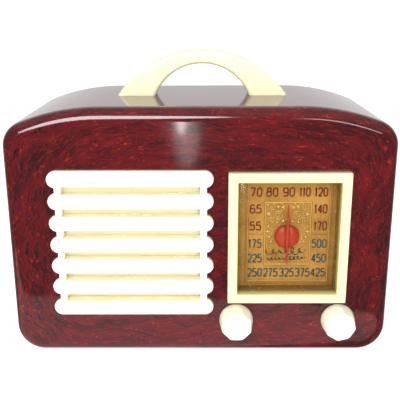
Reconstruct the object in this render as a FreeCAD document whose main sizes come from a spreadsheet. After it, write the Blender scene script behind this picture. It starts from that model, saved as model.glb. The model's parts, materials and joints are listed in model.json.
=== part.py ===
import FreeCAD, Part
import os
import re
from math import atan2, hypot, tau

import Sketcher

# Tabletop radio: cast phenolic cabinet with an arched handle, louvred grille and square dial.
# Each sub-part is drawn in the cabinet's own frame: x = 0 on the middle of the cabinet,
# y = 0 on the front face with +y running to the back, z = 0 on the cabinet's underside.
# place() then moves it so that the origin is on the table under the middle of the whole set.

DIMENSIONS = {
    # cabinet shell
    "cabinet_width": 235.0, "cabinet_height": 157.0, "cabinet_depth": 108.0,
    "wall": 5.0, "front_round": 8.0, "back_round": 1.2,
    "corner_wide": 58.6, "corner_tall": 23.7, "corner_side": 15.4, "bottom_corner": 17.5,
    "foot_height": 2.5, "foot_radius": 7.0, "foot_in_x": 26.0, "foot_in_y": 18.0,
    "boss_radius": 4.5, "boss_length": 18.0, "boss_low": 26.0, "boss_high": 124.0,
    # clearances
    "fit_gap": 0.25, "running_gap": 0.05, "screw_gap": 0.15, "shaft_hole_gap": 1.2,
    # handle
    "handle_x": 1.2, "handle_front": 52.0, "handle_deep": 18.0, "handle_rise": 28.8,
    "handle_thick": 8.3, "handle_outer": 67.0, "handle_inner": 32.6, "handle_round": 2.6,
    "handle_screw_out": 42.6, "handle_screw_in": 8.0,
    # grille
    "grille_x": -41.45, "grille_z": 74.3, "grille_width": 98.9, "bar_height": 10.2,
    "bar_pitch": 13.64, "bar_count": 7, "grille_proud": 3.5, "member_proud": 2.0,
    "grille_sunk": 4.0, "bar_overhang": 4.1, "member_width": 3.9, "bar_round": 1.0,
    "slot_height": 5.2,
    # board and cloth behind the grille
    "cloth_thick": 0.6, "board_thick": 3.6, "board_side": 55.5, "board_tall": 52.0,
    # dial
    "bezel_x": 53.1, "bezel_z": 78.0, "bezel_width": 72.7, "bezel_height": 82.6,
    "bezel_frame": 5.8, "bezel_proud": 5.0, "bezel_corner": 0.6, "bezel_round": 0.4,
    "sleeve_wall": 2.0, "sleeve_deep": 9.6, "plate_thick": 0.6, "plate_lap": 1.6,
    "lens_edge": 5.6, "lens_bow": 3.2, "lens_thick": 1.2,
    "bracket_lap": 3.0, "window_corner": 0.5,
    "clip_long": 9.0, "clip_tall": 5.0, "clip_thick": 0.8,
    # dial axis, pointer and drum
    "axis_x": 53.7, "axis_z": 75.6, "axis_radius": 3.15, "hub_radius": 7.8, "hub_rise": 3.4,
    "hub_gap": 0.8, "pointer_reach": 22.2, "pointer_tail": 17.8, "pointer_width": 1.8,
    "pointer_thick": 0.7,
    "drum_radius": 28.8, "drum_groove": 27.5, "drum_front": 13.0, "drum_thick": 6.0,
    "drum_web": 1.4, "cord_thick": 0.7, "cord_gap": 0.15, "drum_hub": 7.0,
    # controls
    "volume_x": 22.3, "tuning_x": 86.0, "control_z": 23.8, "shaft_radius": 3.15,
    "wind_radius": 3.0, "knob_radius": 10.45, "knob_front_radius": 9.6, "knob_stand": 12.0,
    "knob_gap": 0.8, "knob_flats": 17.1, "knob_sides": 8, "knob_bore": 8.5, "knob_edge": 0.8,
    "tuning_turn": 14.0, "bushing_radius": 4.7, "nut_across": 12.7, "nut_thick": 2.4,
    "pot_radius": 11.5, "pot_long": 11.0, "switch_radius": 10.8, "switch_long": 10.0,
    # chassis
    "chassis_side": 95.0, "chassis_front": 20.0, "chassis_back": 100.0, "chassis_step": 2.0,
    "chassis_left_front": 63.0, "chassis_top": 45.0, "sheet": 1.2, "tab": 16.0,
    "chassis_screw_x": 62.0,
    "screw_radius": 2.0, "head_radius": 3.8, "head_thick": 1.8,
    # tubes
    "tube_count": 5, "tube_pitch": 38.0, "tube_first": -76.0, "tube_y": 82.0,
    "socket_radius": 14.0, "socket_rim": 16.5, "socket_deep": 8.0, "base_radius": 16.0,
    "base_tall": 17.0, "glass_radius": 14.3, "glass_tall": 52.0, "glass_wall": 1.0,
    "plate_radius": 8.0, "plate_tall": 30.0, "pin_radius": 1.2, "pin_circle": 8.7, "pin_long": 7.0,
    # tuning capacitor
    "gang_half": 19.5, "gang_front": 22.0, "gang_long": 42.0, "gang_drop": 22.0,
    "gang_rise": 12.0, "vane_radius": 17.0, "vane_thick": 0.6, "vane_pitch": 3.0,
    "vane_count": 5, "vane_first": 4.0, "gang_step": 20.0, "stator_top": 4.6,
    "bar_radius": 0.9, "grommet_radius": 4.0, "trimmer_side": 9.0, "trimmer_thick": 2.2,
    # coil cans
    "can_side": 25.0, "can_tall": 58.0, "can_corner": 3.0, "can_right_x": 91.0,
    "can_left_x": 17.0, "can_y": 45.0,
    # speaker
    "speaker_radius": 48.0, "cone_radius": 39.0, "flange_inner": 41.0, "gasket_thick": 1.0,
    "basket_back": 40.0, "magnet_radius": 22.0, "magnet_long": 21.0, "pole_radius": 9.2,
    "coil_radius": 9.9, "coil_thick": 0.4, "coil_gap": 0.9, "cone_thick": 0.6, "cone_neck": 31.0,
    "speaker_screws": 45.5, "cone_lead": 1.6,
    # output transformer
    "core_wide": 33.0, "core_deep": 20.0, "core_tall": 20.0, "core_front": 26.0,
    "winding_proud": 5.0, "bracket_z": 123.4, "bracket_leg": 6.0,
    # dial lamp
    "lamp_z": 112.0, "lamp_radius": 5.0, "lamp_front": 15.0, "lamp_long": 11.0, "lamp_cap": 5.6,
    "lamp_holder_long": 10.0, "strip_wide": 6.0, "strip_thick": 0.8, "strip_lap": 6.0,
    # back cover
    "cover_thick": 2.5, "cover_sunk": 0.5, "rim": 2.2, "vent_wide": 34.0, "vent_tall": 5.0,
    "vent_pitch_x": 44.0, "vent_pitch_z": 11.0, "vent_rows": 5, "vent_low": 70.0,
    "loop_half": 92.0, "loop_low": 54.0, "loop_high": 136.0, "loop_band": 12.0,
    "loop_thick": 2.4, "loop_corner": 14.0,
    "outlet_x": -60.0, "outlet_z": 22.0, "outlet_bore": 3.1, "outlet_radius": 5.0,
    "outlet_rim": 6.6, "grommet_stand": 2.0, "outlet_lip": 1.6,
    # fits and small fasteners
    "press_gap": 0.02, "easy_gap": 0.1, "small_screw": 1.5, "small_head": 3.0,
    "pilot_deep": 3.0, "head_dome": 0.6, "lamp_nose": 0.8, "speaker_screw": 1.4,
    "speaker_head": 2.2, "screw_thin": 0.6,
    "boss_floor": 4.0, "screw_end": 4.0,
    # knob, spring and shaft details
    "knob_foot": 1.6, "flat_lead": 1.0, "flat_shy": 0.16, "flat_spare": 4.0, "key_flat": 1.0,
    "spring_half": 1.6, "spring_thick": 0.4, "spring_short": 1.0, "shaft_short": 0.3,
    "waist_spare": 1.4, "bushing_lead": 1.6, "bushing_tail": 8.0, "retainer_wide": 2.0,
    "retainer_thick": 1.0, "retainer_gap": 0.2, "tail_spare": 2.0, "pot_neck": 5.0,
    "pot_floor": 2.0, "pot_end": 3.0, "switch_bevel": 2.0,
    # drum details
    "drum_lip": 2.0, "groove_half": 0.8, "drum_hole_out": 16.0, "drum_hole": 5.0,
    # capacitor details
    "stator_lap": 2.0, "stator_edge": 0.4, "stator_margin": 0.8, "stator_low": 2.5,
    "trimmer_first": 5.0, "trimmer_step": 20.0, "trimmer_screw": 2.0, "trimmer_head": 1.2,
    "buffer_out": 13.0, "buffer_front": 6.0, "buffer_back": 7.0,
    # tube details
    "socket_lip": 1.2, "pin_room": 4.0, "base_lift": 1.3, "base_bevel": 0.8, "glass_sunk": 6.0,
    "stem_radius": 2.0, "stem_tall": 6.0, "getter_stem": 1.0, "getter_rise": 3.0,
    "getter_radius": 4.0, "getter_thick": 0.6, "lug_radius": 2.5, "lug_deep": 3.0,
    # speaker details
    "basket_lead": 1.6, "basket_lap": 3.0, "basket_step": 1.0, "basket_hole_out": 36.0,
    "basket_hole": 14.0, "basket_margin": 3.0, "cone_lip": 2.0, "former_wall": 0.2,
    "former_lead": 1.0, "former_deep": 6.0, "cap_rise": 3.0, "cap_curve": 2.1, "cap_lip": 0.6,
    "cap_gap": 0.1, "pole_lead": 1.0, "pole_slim": 0.3, "pot_wall": 4.0, "pot_bevel": 1.0,
    # transformer details
    "limb_half": 4.0, "yoke": 4.0, "core_side": 5.0, "coil_slack": 0.2, "coil_corner": 3.0,
    "bracket_inset": 3.0, "bracket_short": 3.0,
    # back details
    "loop_inner_corner": 4.0, "grommet_bevel": 1.0,
    # board, cloth and brackets
    "board_edge_x": 3.0, "board_edge_z": 4.0, "cloth_edge_x": 6.0, "cloth_edge_z": 7.0,
    "board_lip": 1.0, "clip_slack": 0.05, "tip_half": 0.3, "plate_corner": 2.0,
    # parts under the chassis
    "filter_x": -70.0, "filter_z": 22.0, "paper_x": 30.0, "paper_y": 50.0, "paper_pitch": 12.0,
    "resistor_x": 60.0, "resistor_y": 56.0, "resistor_z": 14.0, "resistor_pitch": 8.0,
    "filter_radius": 12.0, "filter_long": 60.0, "paper_radius": 4.5, "paper_long": 24.0,
    "resistor_radius": 2.2, "resistor_long": 11.0,
}

# Named values worked out from the driving dimensions.
DERIVED = {
    "half": "cabinet_width / 2",
    "front_y": "knob_stand - (knob_stand + cabinet_depth + grommet_stand) / 2",
    "corner_big": "((corner_wide - corner_side)^2 + corner_tall^2 - corner_side^2)"
                  " / (2 * (corner_tall - corner_side))",
    "cover_front": "cabinet_depth - cover_sunk - cover_thick",
    "cover_back": "cabinet_depth - cover_sunk",
    "boss_x": "half - wall - boss_radius + 1",
    "handle_base": "handle_rise - handle_outer",
    "handle_low": "handle_rise - handle_thick - handle_inner",
    "handle_foot_out": "sqrt(handle_outer^2 - handle_base^2)",
    "handle_foot_in": "sqrt(handle_inner^2 - handle_low^2)",
    "member_half": "grille_width / 2 - bar_overhang",
    "bars_half": "(bar_count - 1) / 2 * bar_pitch",
    "window_half": "bezel_width / 2 - bezel_frame",
    "window_tall": "bezel_height / 2 - bezel_frame",
    "cloth_front": "wall",
    "board_front": "wall + cloth_thick",
    "board_back": "board_front + board_thick",
    "flange_front": "board_back + gasket_thick",
    "flange_back": "flange_front + sheet",
    "plate_front": "sleeve_deep + 0.1",
    "hub_back": "plate_front - hub_gap",
    "pointer_front": "hub_back - hub_rise - pointer_thick",
    "drum_cord_radius": "drum_groove + cord_gap",
    "shaft_cord_radius": "wind_radius + cord_gap",
    "cord_dx": "tuning_x - axis_x",
    "cord_dz": "control_z - axis_z",
    "cord_reach": "sqrt(cord_dx^2 + cord_dz^2)",
    "cord_front": "drum_front + drum_thick / 2 - cord_thick / 2",
    "chassis_floor": "wall",
    "gang_bottom": "axis_z - gang_drop",
    "gang_back": "gang_front + gang_long",
    "magnet_front": "basket_back",
    "magnet_back": "magnet_front + magnet_long",
}

doc = FreeCAD.newDocument("tabletop_radio")
sheet = doc.addObject("Spreadsheet::Sheet", "dims")
for row, (alias, number) in enumerate(DIMENSIONS.items(), start=1):
    sheet.set(f"A{row}", alias)
    sheet.set(f"B{row}", str(number))
    sheet.setAlias(f"B{row}", alias)
doc.recompute()

WORD = re.compile(r"[a-z_]+(?![a-z_(])")
ORIGIN_PLANES = {"front": "XZ_Plane", "top": "XY_Plane", "side": "YZ_Plane"}
pieces = []
planes = {}


def spell(formula):
    """Write a formula on the named values as an expression on the sheet's cells."""
    def swap(found):
        name = found.group()
        if name in DERIVED:
            return f"({spell(DERIVED[name])})"
        return f"{sheet.Name}.{name}" if name in DIMENSIONS else name
    return WORD.sub(swap, str(formula))


def value(formula):
    return float(sheet.evalExpression(spell(formula)))


def bind(target, name, formula):
    target.setExpression(name, spell(formula))


def place(piece, x=0, y=0, z=0):
    """Stand a piece drawn in the cabinet's frame, with its own zero at x, y, z, on the table."""
    bind(piece, "Placement.Base.x", x)
    bind(piece, "Placement.Base.y", f"front_y + {y}")
    bind(piece, "Placement.Base.z", f"foot_height + {z}")


def body(label, x=0, y=0, z=0):
    made = doc.addObject("PartDesign::Body", label)
    made.Label = label
    place(made, x, y, z)
    pieces.append(made)
    return made


def sketch(owner, plane, at=0):
    """A sketch on one of the body's planes, moved by `at` along +y, +z or +x."""
    made = owner.newObject("Sketcher::SketchObject", f"{owner.Name}_sketch")
    support = [part for part in owner.Origin.OriginFeatures if part.Role == ORIGIN_PLANES[plane]]
    made.AttachmentSupport = (support[0], [""])
    made.MapMode = "FlatFace"
    sign = "-1" if plane == "front" else "1"
    bind(made, "AttachmentOffset.Base.z", f"{sign} * ({at})")
    planes[made.Name] = plane
    return made


def pin(drawing, geometry, position, **sides):
    """Fix a point of the sketch by distances from its zero."""
    for side, formula in sides.items():
        kind = {"x": "DistanceX", "y": "DistanceY"}[side]
        rule = Sketcher.Constraint(kind, -1, 1, geometry, position, value(formula))
        bind(drawing, f"Constraints[{drawing.addConstraint(rule)}]", formula)


def circle(drawing, x, y, radius):
    shape = Part.Circle(FreeCAD.Vector(value(x), value(y), 0), FreeCAD.Vector(0, 0, 1), value(radius))
    index = drawing.addGeometry(shape)
    pin(drawing, index, 3, x=x, y=y)
    rule = drawing.addConstraint(Sketcher.Constraint("Radius", index, value(radius)))
    bind(drawing, f"Constraints[{rule}]", radius)


def outline(drawing, *steps):
    """Closed outline. A step (x, y) is a straight run to that point from the last one, and
    (x, y, centre_x, centre_y, turn) is an arc to it, where turn is 1 for anticlockwise."""
    starts = [steps[-1][:2], *(step[:2] for step in steps[:-1])]
    segments = []
    for start, step in zip(starts, steps):
        begin = FreeCAD.Vector(value(start[0]), value(start[1]), 0)
        end = FreeCAD.Vector(value(step[0]), value(step[1]), 0)
        if len(step) == 2:
            index = drawing.addGeometry(Part.LineSegment(begin, end))
            first, last = 1, 2
        else:
            centre = FreeCAD.Vector(value(step[2]), value(step[3]), 0)
            low, high = (begin, end) if step[4] > 0 else (end, begin)
            round_part = Part.Circle(centre, FreeCAD.Vector(0, 0, 1), (begin - centre).Length)
            angles = [atan2(spot.y - centre.y, spot.x - centre.x) for spot in (low, high)]
            if angles[1] <= angles[0]:
                angles[1] += tau
            index = drawing.addGeometry(Part.ArcOfCircle(round_part, *angles))
            first, last = (1, 2) if step[4] > 0 else (2, 1)
            chord = end - begin
            side = "x" if abs(chord.y) >= abs(chord.x) else "y"
            pin(drawing, index, 3, **{side: step[2] if side == "x" else step[3]})
        pin(drawing, index, first, x=start[0], y=start[1])
        segments.append((index, first, last))
    for (index, _, last), (following, first, _) in zip(segments, segments[1:] + segments[:1]):
        drawing.addConstraint(Sketcher.Constraint("Coincident", index, last, following, first))


def rectangle(drawing, left, low, right, high):
    outline(drawing, (left, low), (right, low), (right, high), (left, high))


def rounded(drawing, x, y, half_x, half_y, radius):
    """Rectangle about (x, y) with round corners."""
    left, right = f"{x} - ({half_x})", f"{x} + ({half_x})"
    low, high = f"{y} - ({half_y})", f"{y} + ({half_y})"
    outline(
        drawing,
        (f"{right} - ({radius})", low),
        (right, f"{low} + ({radius})", f"{right} - ({radius})", f"{low} + ({radius})", 1),
        (right, f"{high} - ({radius})"),
        (f"{right} - ({radius})", high, f"{right} - ({radius})", f"{high} - ({radius})", 1),
        (f"{left} + ({radius})", high),
        (left, f"{high} - ({radius})", f"{left} + ({radius})", f"{high} - ({radius})", 1),
        (left, f"{low} + ({radius})"),
        (f"{left} + ({radius})", low, f"{left} + ({radius})", f"{low} + ({radius})", 1),
    )


def stadium(drawing, x, y, half_x, half_y):
    """Bar about (x, y) with half-round ends."""
    left, right = f"{x} - ({half_x}) + ({half_y})", f"{x} + ({half_x}) - ({half_y})"
    low, high = f"{y} - ({half_y})", f"{y} + ({half_y})"
    outline(drawing, (right, low), (right, high, right, y, 1), (left, high), (left, low, left, y, 1))


def hexagon(drawing, x, y, across):
    """Regular hexagon with two flats level, given its size across the flats."""
    corners = [(1, 1), (-1, 1), (-2, 0), (-1, -1), (1, -1), (2, 0)]
    rise = f"({across}) / 2"
    run = f"({across}) / 2 / sqrt(3)"
    outline(drawing, *((f"{x} + {i} * {run}", f"{y} + {j} * {rise}") for i, j in corners))


def feature(owner, kind, profile):
    made = owner.newObject(f"PartDesign::{kind}", f"{owner.Name}_{kind.lower()}")
    made.Profile = profile
    return made


def pad(owner, profile, length, towards=1):
    """Add the profile along +y, +z or +x, or the other way when towards is -1."""
    made = feature(owner, "Pad", profile)
    bind(made, "Length", length)
    made.Reversed = (towards > 0) == (planes[profile.Name] == "front")
    return made


def pocket(owner, profile, length, towards=1):
    """Cut the profile along +y, +z or +x, or the other way when towards is -1."""
    made = feature(owner, "Pocket", profile)
    bind(made, "Length", length)
    made.Reversed = (towards > 0) != (planes[profile.Name] == "front")
    return made


def revolve(owner, profile, axis="H_Axis"):
    made = feature(owner, "Revolution", profile)
    made.ReferenceAxis = (profile, [axis])
    made.Angle = 360
    return made


def axis_of(owner, role):
    return [part for part in owner.Origin.OriginFeatures if part.Role == role][0]


def repeat(owner, original, role, length, count):
    """Copies of a feature in a row along one of the body's axes."""
    made = owner.newObject("PartDesign::LinearPattern", f"{owner.Name}_row")
    made.Originals = [original]
    made.Direction = (axis_of(owner, role), [""])
    bind(made, "Length", length)
    bind(made, "Occurrences", count)
    owner.Tip = made
    return made


def dress(owner, kind, base, size, wanted):
    """Fillet or chamfer the edges of `base` that `wanted` picks."""
    doc.recompute()
    edges = [f"Edge{n}" for n, edge in enumerate(base.Shape.Edges, start=1) if wanted(edge)]
    made = owner.newObject(f"PartDesign::{kind}", f"{owner.Name}_{kind.lower()}")
    made.Base = (base, edges)
    bind(made, {"Fillet": "Radius", "Chamfer": "Size"}[kind], size)
    owner.Tip = made
    return made


def level_at(y):
    """Pick edges that lie wholly in the plane at this y, in the body's own frame."""
    place_y = value(y)

    def wanted(edge):
        box = edge.BoundBox
        return abs(box.YMin - place_y) < 1e-4 and abs(box.YMax - place_y) < 1e-4
    return wanted


def disc_stack(label, x, z, *levels, y=0):
    """Turned piece about a y axis at (x, z). Each level is (y, radius), from front to back."""
    made = body(label, x, y, z)
    drawing = sketch(made, "side")
    outline(drawing, (levels[0][0], 0), *levels, (levels[-1][0], 0))
    revolve(made, drawing)
    return made


# ---------------------------------------------------------------- cabinet and handle

def cabinet_outline(drawing, inset):
    """Front view of the cabinet, moved inwards by inset: flat sides and base, round lower
    corners, and upper corners of two arcs, small at the side and large along the top."""
    side, top = f"half - ({inset})", f"cabinet_height - ({inset})"
    low_x = "(half - bottom_corner)"
    small_x, small_y = "(half - corner_side)", "(cabinet_height - corner_tall)"
    big_x, big_y = "(half - corner_wide)", "(cabinet_height - corner_big)"
    share = f"(corner_big - ({inset})) / (corner_big - corner_side)"
    meet_x = f"({big_x} + ({small_x} - {big_x}) * {share})"
    meet_y = f"({big_y} + ({small_y} - {big_y}) * {share})"
    outline(
        drawing,
        (low_x, inset),
        (side, "bottom_corner", low_x, "bottom_corner", 1),
        (side, small_y),
        (meet_x, meet_y, small_x, small_y, 1),
        (big_x, top, big_x, big_y, 1),
        (f"-1 * {big_x}", top),
        (f"-1 * {meet_x}", meet_y, f"-1 * {big_x}", big_y, 1),
        (f"-1 * ({side})", small_y, f"-1 * {small_x}", small_y, 1),
        (f"-1 * ({side})", "bottom_corner"),
        (f"-1 * {low_x}", inset, f"-1 * {low_x}", "bottom_corner", 1),
    )


CHASSIS_SCREWS = [("-1 * chassis_screw_x", "chassis_back - tab / 2"),
                  ("chassis_screw_x", "chassis_back - tab / 2"),
                  ("axis_x", "chassis_front + tab / 2")]
BOSSES = [("boss_x", "boss_low"), ("-1 * (boss_x)", "boss_low"),
          ("boss_x", "boss_high"), ("-1 * (boss_x)", "boss_high")]
BOARD_SCREWS = [(f"grille_x + {i} * (board_side - board_edge_x)",
                 f"grille_z + {j} * (board_tall - board_edge_z)")
                for i in (-1, 1) for j in (-1, 1)]
SPEAKER_SCREWS = [(f"{i} * speaker_screws / sqrt(2)", f"{j} * speaker_screws / sqrt(2)")
                  for i in (-1, 1) for j in (-1, 1)]
SQUARE = ((1, 0), (0, 1), (-1, 0), (0, -1))
HANDLE_SCREWS = [f"handle_x + {side} * handle_screw_out" for side in (-1, 1)]


def cabinet():
    made = body("cabinet")
    outside = sketch(made, "front")
    cabinet_outline(outside, "0")
    shell = pad(made, outside, "cabinet_depth")
    rounded_front = dress(made, "Fillet", shell, "front_round", level_at("0"))
    dress(made, "Fillet", rounded_front, "back_round", level_at("cabinet_depth"))
    inside = sketch(made, "front", "wall")
    cabinet_outline(inside, "wall")
    pocket(made, inside, "cabinet_depth - wall")
    rebate = sketch(made, "front", "cover_front")
    cabinet_outline(rebate, "rim")
    pocket(made, rebate, "cabinet_depth - cover_front")
    bosses = sketch(made, "front", "cover_front - boss_length")
    for x, z in BOSSES:
        circle(bosses, x, z, "boss_radius")
    pad(made, bosses, "boss_length")
    boss_holes = sketch(made, "front", "cover_front - boss_length + boss_floor")
    for x, z in BOSSES:
        circle(boss_holes, x, z, "screw_radius - 0.6")
    pocket(made, boss_holes, "boss_length - 4")
    windows = sketch(made, "front")
    rectangle(windows, "grille_x - member_half - fit_gap", "grille_z - bars_half - fit_gap",
              "grille_x + member_half + fit_gap", "grille_z + bars_half + fit_gap")
    rounded(windows, "bezel_x", "bezel_z", "window_half + sleeve_wall + fit_gap",
            "window_tall + sleeve_wall + fit_gap", "bezel_corner")
    circle(windows, "volume_x", "control_z", "bushing_radius + shaft_hole_gap")
    circle(windows, "tuning_x", "control_z", "bushing_radius + shaft_hole_gap")
    pocket(made, windows, "wall")
    pilots = sketch(made, "front", "wall - pilot_deep")
    for x, z in BOARD_SCREWS:
        circle(pilots, x, z, "small_screw")
    pocket(made, pilots, "pilot_deep")
    floor_holes = sketch(made, "top")
    for x, y in CHASSIS_SCREWS:
        circle(floor_holes, x, y, "screw_radius + screw_gap")
    pocket(made, floor_holes, "wall")
    roof_holes = sketch(made, "top", "cabinet_height - wall")
    for x in HANDLE_SCREWS:
        circle(roof_holes, x, "handle_front + handle_deep / 2", "screw_radius + screw_gap")
    pocket(made, roof_holes, "wall")


def handle():
    """Arch between two arcs about the handle's middle, flat where it stands on the cabinet."""
    made = body("handle", "handle_x", "handle_front", "cabinet_height")
    arch = sketch(made, "front")
    outline(
        arch,
        ("-1 * handle_foot_in", "0"),
        ("handle_foot_in", "0", "0", "handle_low", -1),
        ("handle_foot_out", "0"),
        ("-1 * handle_foot_out", "0", "0", "handle_base", 1),
    )
    arch_pad = pad(made, arch, "handle_deep")

    def long_arc(edge):
        return edge.Curve.TypeId == "Part::GeomCircle"
    dress(made, "Fillet", arch_pad, "handle_round", long_arc)
    holes = sketch(made, "top")
    for side in (-1, 1):
        circle(holes, f"{side} * handle_screw_out", "handle_deep / 2", "screw_radius")
    pocket(made, holes, "handle_screw_in + 0.5")


def handle_screws():
    made = body("handle_screws")
    shanks = sketch(made, "top", "cabinet_height - wall")
    heads = sketch(made, "top", "cabinet_height - wall")
    for x in HANDLE_SCREWS:
        circle(shanks, x, "handle_front + handle_deep / 2", "screw_radius")
        circle(heads, x, "handle_front + handle_deep / 2", "head_radius")
    pad(made, shanks, "wall + handle_screw_in")
    pad(made, heads, "head_thick", -1)


def feet():
    made = body("feet")
    pads = sketch(made, "top")
    for side in (-1, 1):
        for y in ("foot_in_y", "cabinet_depth - foot_in_y"):
            circle(pads, f"{side} * (half - foot_in_x)", y, "foot_radius")
    pad(made, pads, "foot_height", -1)


# ---------------------------------------------------------------- front: grille and dial

def grille():
    """Seven bars with round ends, joined by two uprights that sink into the cabinet wall."""
    made = body("grille")
    plate = sketch(made, "front", "-1 * member_proud")
    rectangle(plate, "grille_x - member_half", "grille_z - bars_half",
              "grille_x + member_half", "grille_z + bars_half")
    pad(made, plate, "member_proud + grille_sunk")
    bar = sketch(made, "front", "-1 * grille_proud")
    stadium(bar, "grille_x", "grille_z - bars_half", "grille_width / 2", "bar_height / 2")
    bar_pad = pad(made, bar, "grille_proud")
    bars = repeat(made, bar_pad, "Z_Axis", "(bar_count - 1) * bar_pitch", "bar_count")
    dress(made, "Fillet", bars, "bar_round", level_at("-1 * grille_proud"))
    slot = sketch(made, "front", "-1 * grille_proud")
    rectangle(slot, "grille_x - member_half + member_width",
              "grille_z - bars_half + bar_pitch / 2 - slot_height / 2",
              "grille_x + member_half - member_width",
              "grille_z - bars_half + bar_pitch / 2 + slot_height / 2")
    slot_cut = pocket(made, slot, "grille_proud + grille_sunk")
    repeat(made, slot_cut, "Z_Axis", "(bar_count - 2) * bar_pitch", "bar_count - 1")


def grille_cloth():
    made = body("grille_cloth")
    cloth = sketch(made, "front", "cloth_front")
    rectangle(cloth, "grille_x - board_side + cloth_edge_x", "grille_z - board_tall + cloth_edge_z",
              "grille_x + board_side - cloth_edge_x", "grille_z + board_tall - cloth_edge_z")
    pad(made, cloth, "cloth_thick")


def speaker_holes(drawing, x="grille_x", z="grille_z"):
    """Four screw holes on a circle about (x, z)."""
    for i, j in SPEAKER_SCREWS:
        circle(drawing, f"{x} + {i}", f"{z} + {j}", "small_screw")


def baffle_board():
    made = body("baffle_board")
    board = sketch(made, "front", "board_front")
    rectangle(board, "grille_x - board_side", "grille_z - board_tall",
              "grille_x + board_side", "grille_z + board_tall")
    circle(board, "grille_x", "grille_z", "flange_inner - board_lip")
    speaker_holes(board)
    for x, z in BOARD_SCREWS:
        circle(board, x, z, "small_screw")
    pad(made, board, "board_thick")


def screws(label, spots, tip, seat, head_length="head_thick", radius="small_screw",
           head="small_head"):
    """Screws along y with the tip at the front and a round head behind the seat."""
    made = body(label)
    shanks = sketch(made, "front", tip)
    heads = sketch(made, "front", seat)
    for x, z in spots:
        circle(shanks, x, z, radius)
        circle(heads, x, z, head)
    pad(made, shanks, f"{seat} - ({tip})")
    head_pad = pad(made, heads, head_length)
    edge_at = level_at(f"{seat} + {head_length}")
    dress(made, "Fillet", head_pad, f"({head_length}) * head_dome", edge_at)


def dial_bezel():
    """Square frame proud of the front, with a sleeve that passes through the wall."""
    made = body("dial_bezel")
    frame = sketch(made, "front", "-1 * bezel_proud")
    rounded(frame, "bezel_x", "bezel_z", "bezel_width / 2", "bezel_height / 2", "bezel_corner")
    rounded(frame, "bezel_x", "bezel_z", "window_half", "window_tall", "window_corner")
    ring = pad(made, frame, "bezel_proud")
    dress(made, "Fillet", ring, "bezel_round", level_at("-1 * bezel_proud"))
    sleeve = sketch(made, "front")
    rounded(sleeve, "bezel_x", "bezel_z", "window_half + sleeve_wall", "window_tall + sleeve_wall",
            "bezel_corner")
    rounded(sleeve, "bezel_x", "bezel_z", "window_half", "window_tall", "window_corner")
    pad(made, sleeve, "sleeve_deep")


def bezel_clips():
    """Four flat springs between the sleeve and the inside of the cabinet wall."""
    made = body("bezel_clips")
    clips = sketch(made, "front", "wall")
    sleeve_x = "(window_half + sleeve_wall + clip_slack)"
    sleeve_z = "(window_tall + sleeve_wall + clip_slack)"
    for side in (-1, 1):
        inner, outer = f"{side} * {sleeve_x}", f"{side} * ({sleeve_x} + clip_tall)"
        low, high = sorted((inner, outer), key=value)
        rectangle(clips, f"bezel_x + {low}", "bezel_z - clip_long / 2",
                  f"bezel_x + {high}", "bezel_z + clip_long / 2")
        inner, outer = f"{side} * {sleeve_z}", f"{side} * ({sleeve_z} + clip_tall)"
        low, high = sorted((inner, outer), key=value)
        rectangle(clips, "bezel_x - clip_long / 2", f"bezel_z + {low}",
                  "bezel_x + clip_long / 2", f"bezel_z + {high}")
    pad(made, clips, "clip_thick")


def dial_lens():
    """Clear window bowed both ways: the part of a thin ball that fits inside the bezel."""
    reach = "sqrt((window_half - fit_gap)^2 + (window_tall - fit_gap)^2)"
    ball = f"({reach}^2 + lens_bow^2) / (2 * lens_bow)"
    block = doc.addObject("Part::Box", "lens_block")
    bind(block, "Length", "2 * (window_half - fit_gap)")
    bind(block, "Width", "2 * lens_bow + lens_thick")
    bind(block, "Height", "2 * (window_tall - fit_gap)")
    bind(block, "Placement.Base.x", "fit_gap - window_half")
    bind(block, "Placement.Base.y", "-2 * lens_bow")
    bind(block, "Placement.Base.z", "fit_gap - window_tall")
    shells = []
    for name, radius in (("lens_outer", ball), ("lens_inner", f"{ball} - lens_thick")):
        shell = doc.addObject("Part::Sphere", name)
        bind(shell, "Radius", radius)
        bind(shell, "Placement.Base.y", f"{ball} - lens_bow")
        shells.append(shell)
    skin = doc.addObject("Part::Cut", "lens_skin")
    skin.Base, skin.Tool = shells
    made = doc.addObject("Part::Common", "dial_lens")
    made.Base, made.Tool = skin, block
    made.Label = "dial_lens"
    place(made, "bezel_x", "lens_edge", "bezel_z")
    pieces.append(made)


def dial_plate():
    made = body("dial_plate")
    plate = sketch(made, "front", "plate_front")
    rounded(plate, "bezel_x", "bezel_z", "window_half + plate_lap", "window_tall + plate_lap",
            "plate_corner")
    circle(plate, "axis_x", "axis_z", "axis_radius + 1")
    pad(made, plate, "plate_thick")


def dial_brackets():
    """Two bent strips from the chassis top to the back of the dial plate."""
    made = body("dial_brackets")
    strip_back = "(plate_front + plate_thick)"
    low = "chassis_top"
    for left, right in (("axis_x - 28", "axis_x - 20"), ("axis_x + 8", "axis_x + 18")):
        profile = sketch(made, "side", left)
        outline(
            profile,
            (strip_back, f"{low} - 4"),
            (f"{strip_back} + sheet", f"{low} - 4"),
            (f"{strip_back} + sheet", low),
            ("chassis_front + bracket_lap", low),
            ("chassis_front + bracket_lap", f"{low} + 1"),
            (strip_back, f"{low} + 1"),
        )
        pad(made, profile, f"{right} - ({left})")


def dial_pointer():
    """Two-ended needle, widest at the hub and pointed at both tips."""
    made = body("dial_pointer", "axis_x", 0, "axis_z")
    needle = sketch(made, "front", "pointer_front")
    outline(
        needle,
        ("-1 * pointer_width / 2", "0"),
        ("-1 * tip_half", "-1 * pointer_tail"),
        ("tip_half", "-1 * pointer_tail"),
        ("pointer_width / 2", "0"),
        ("tip_half", "pointer_reach"),
        ("-1 * tip_half", "pointer_reach"),
    )
    pad(made, needle, "pointer_thick")


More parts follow.
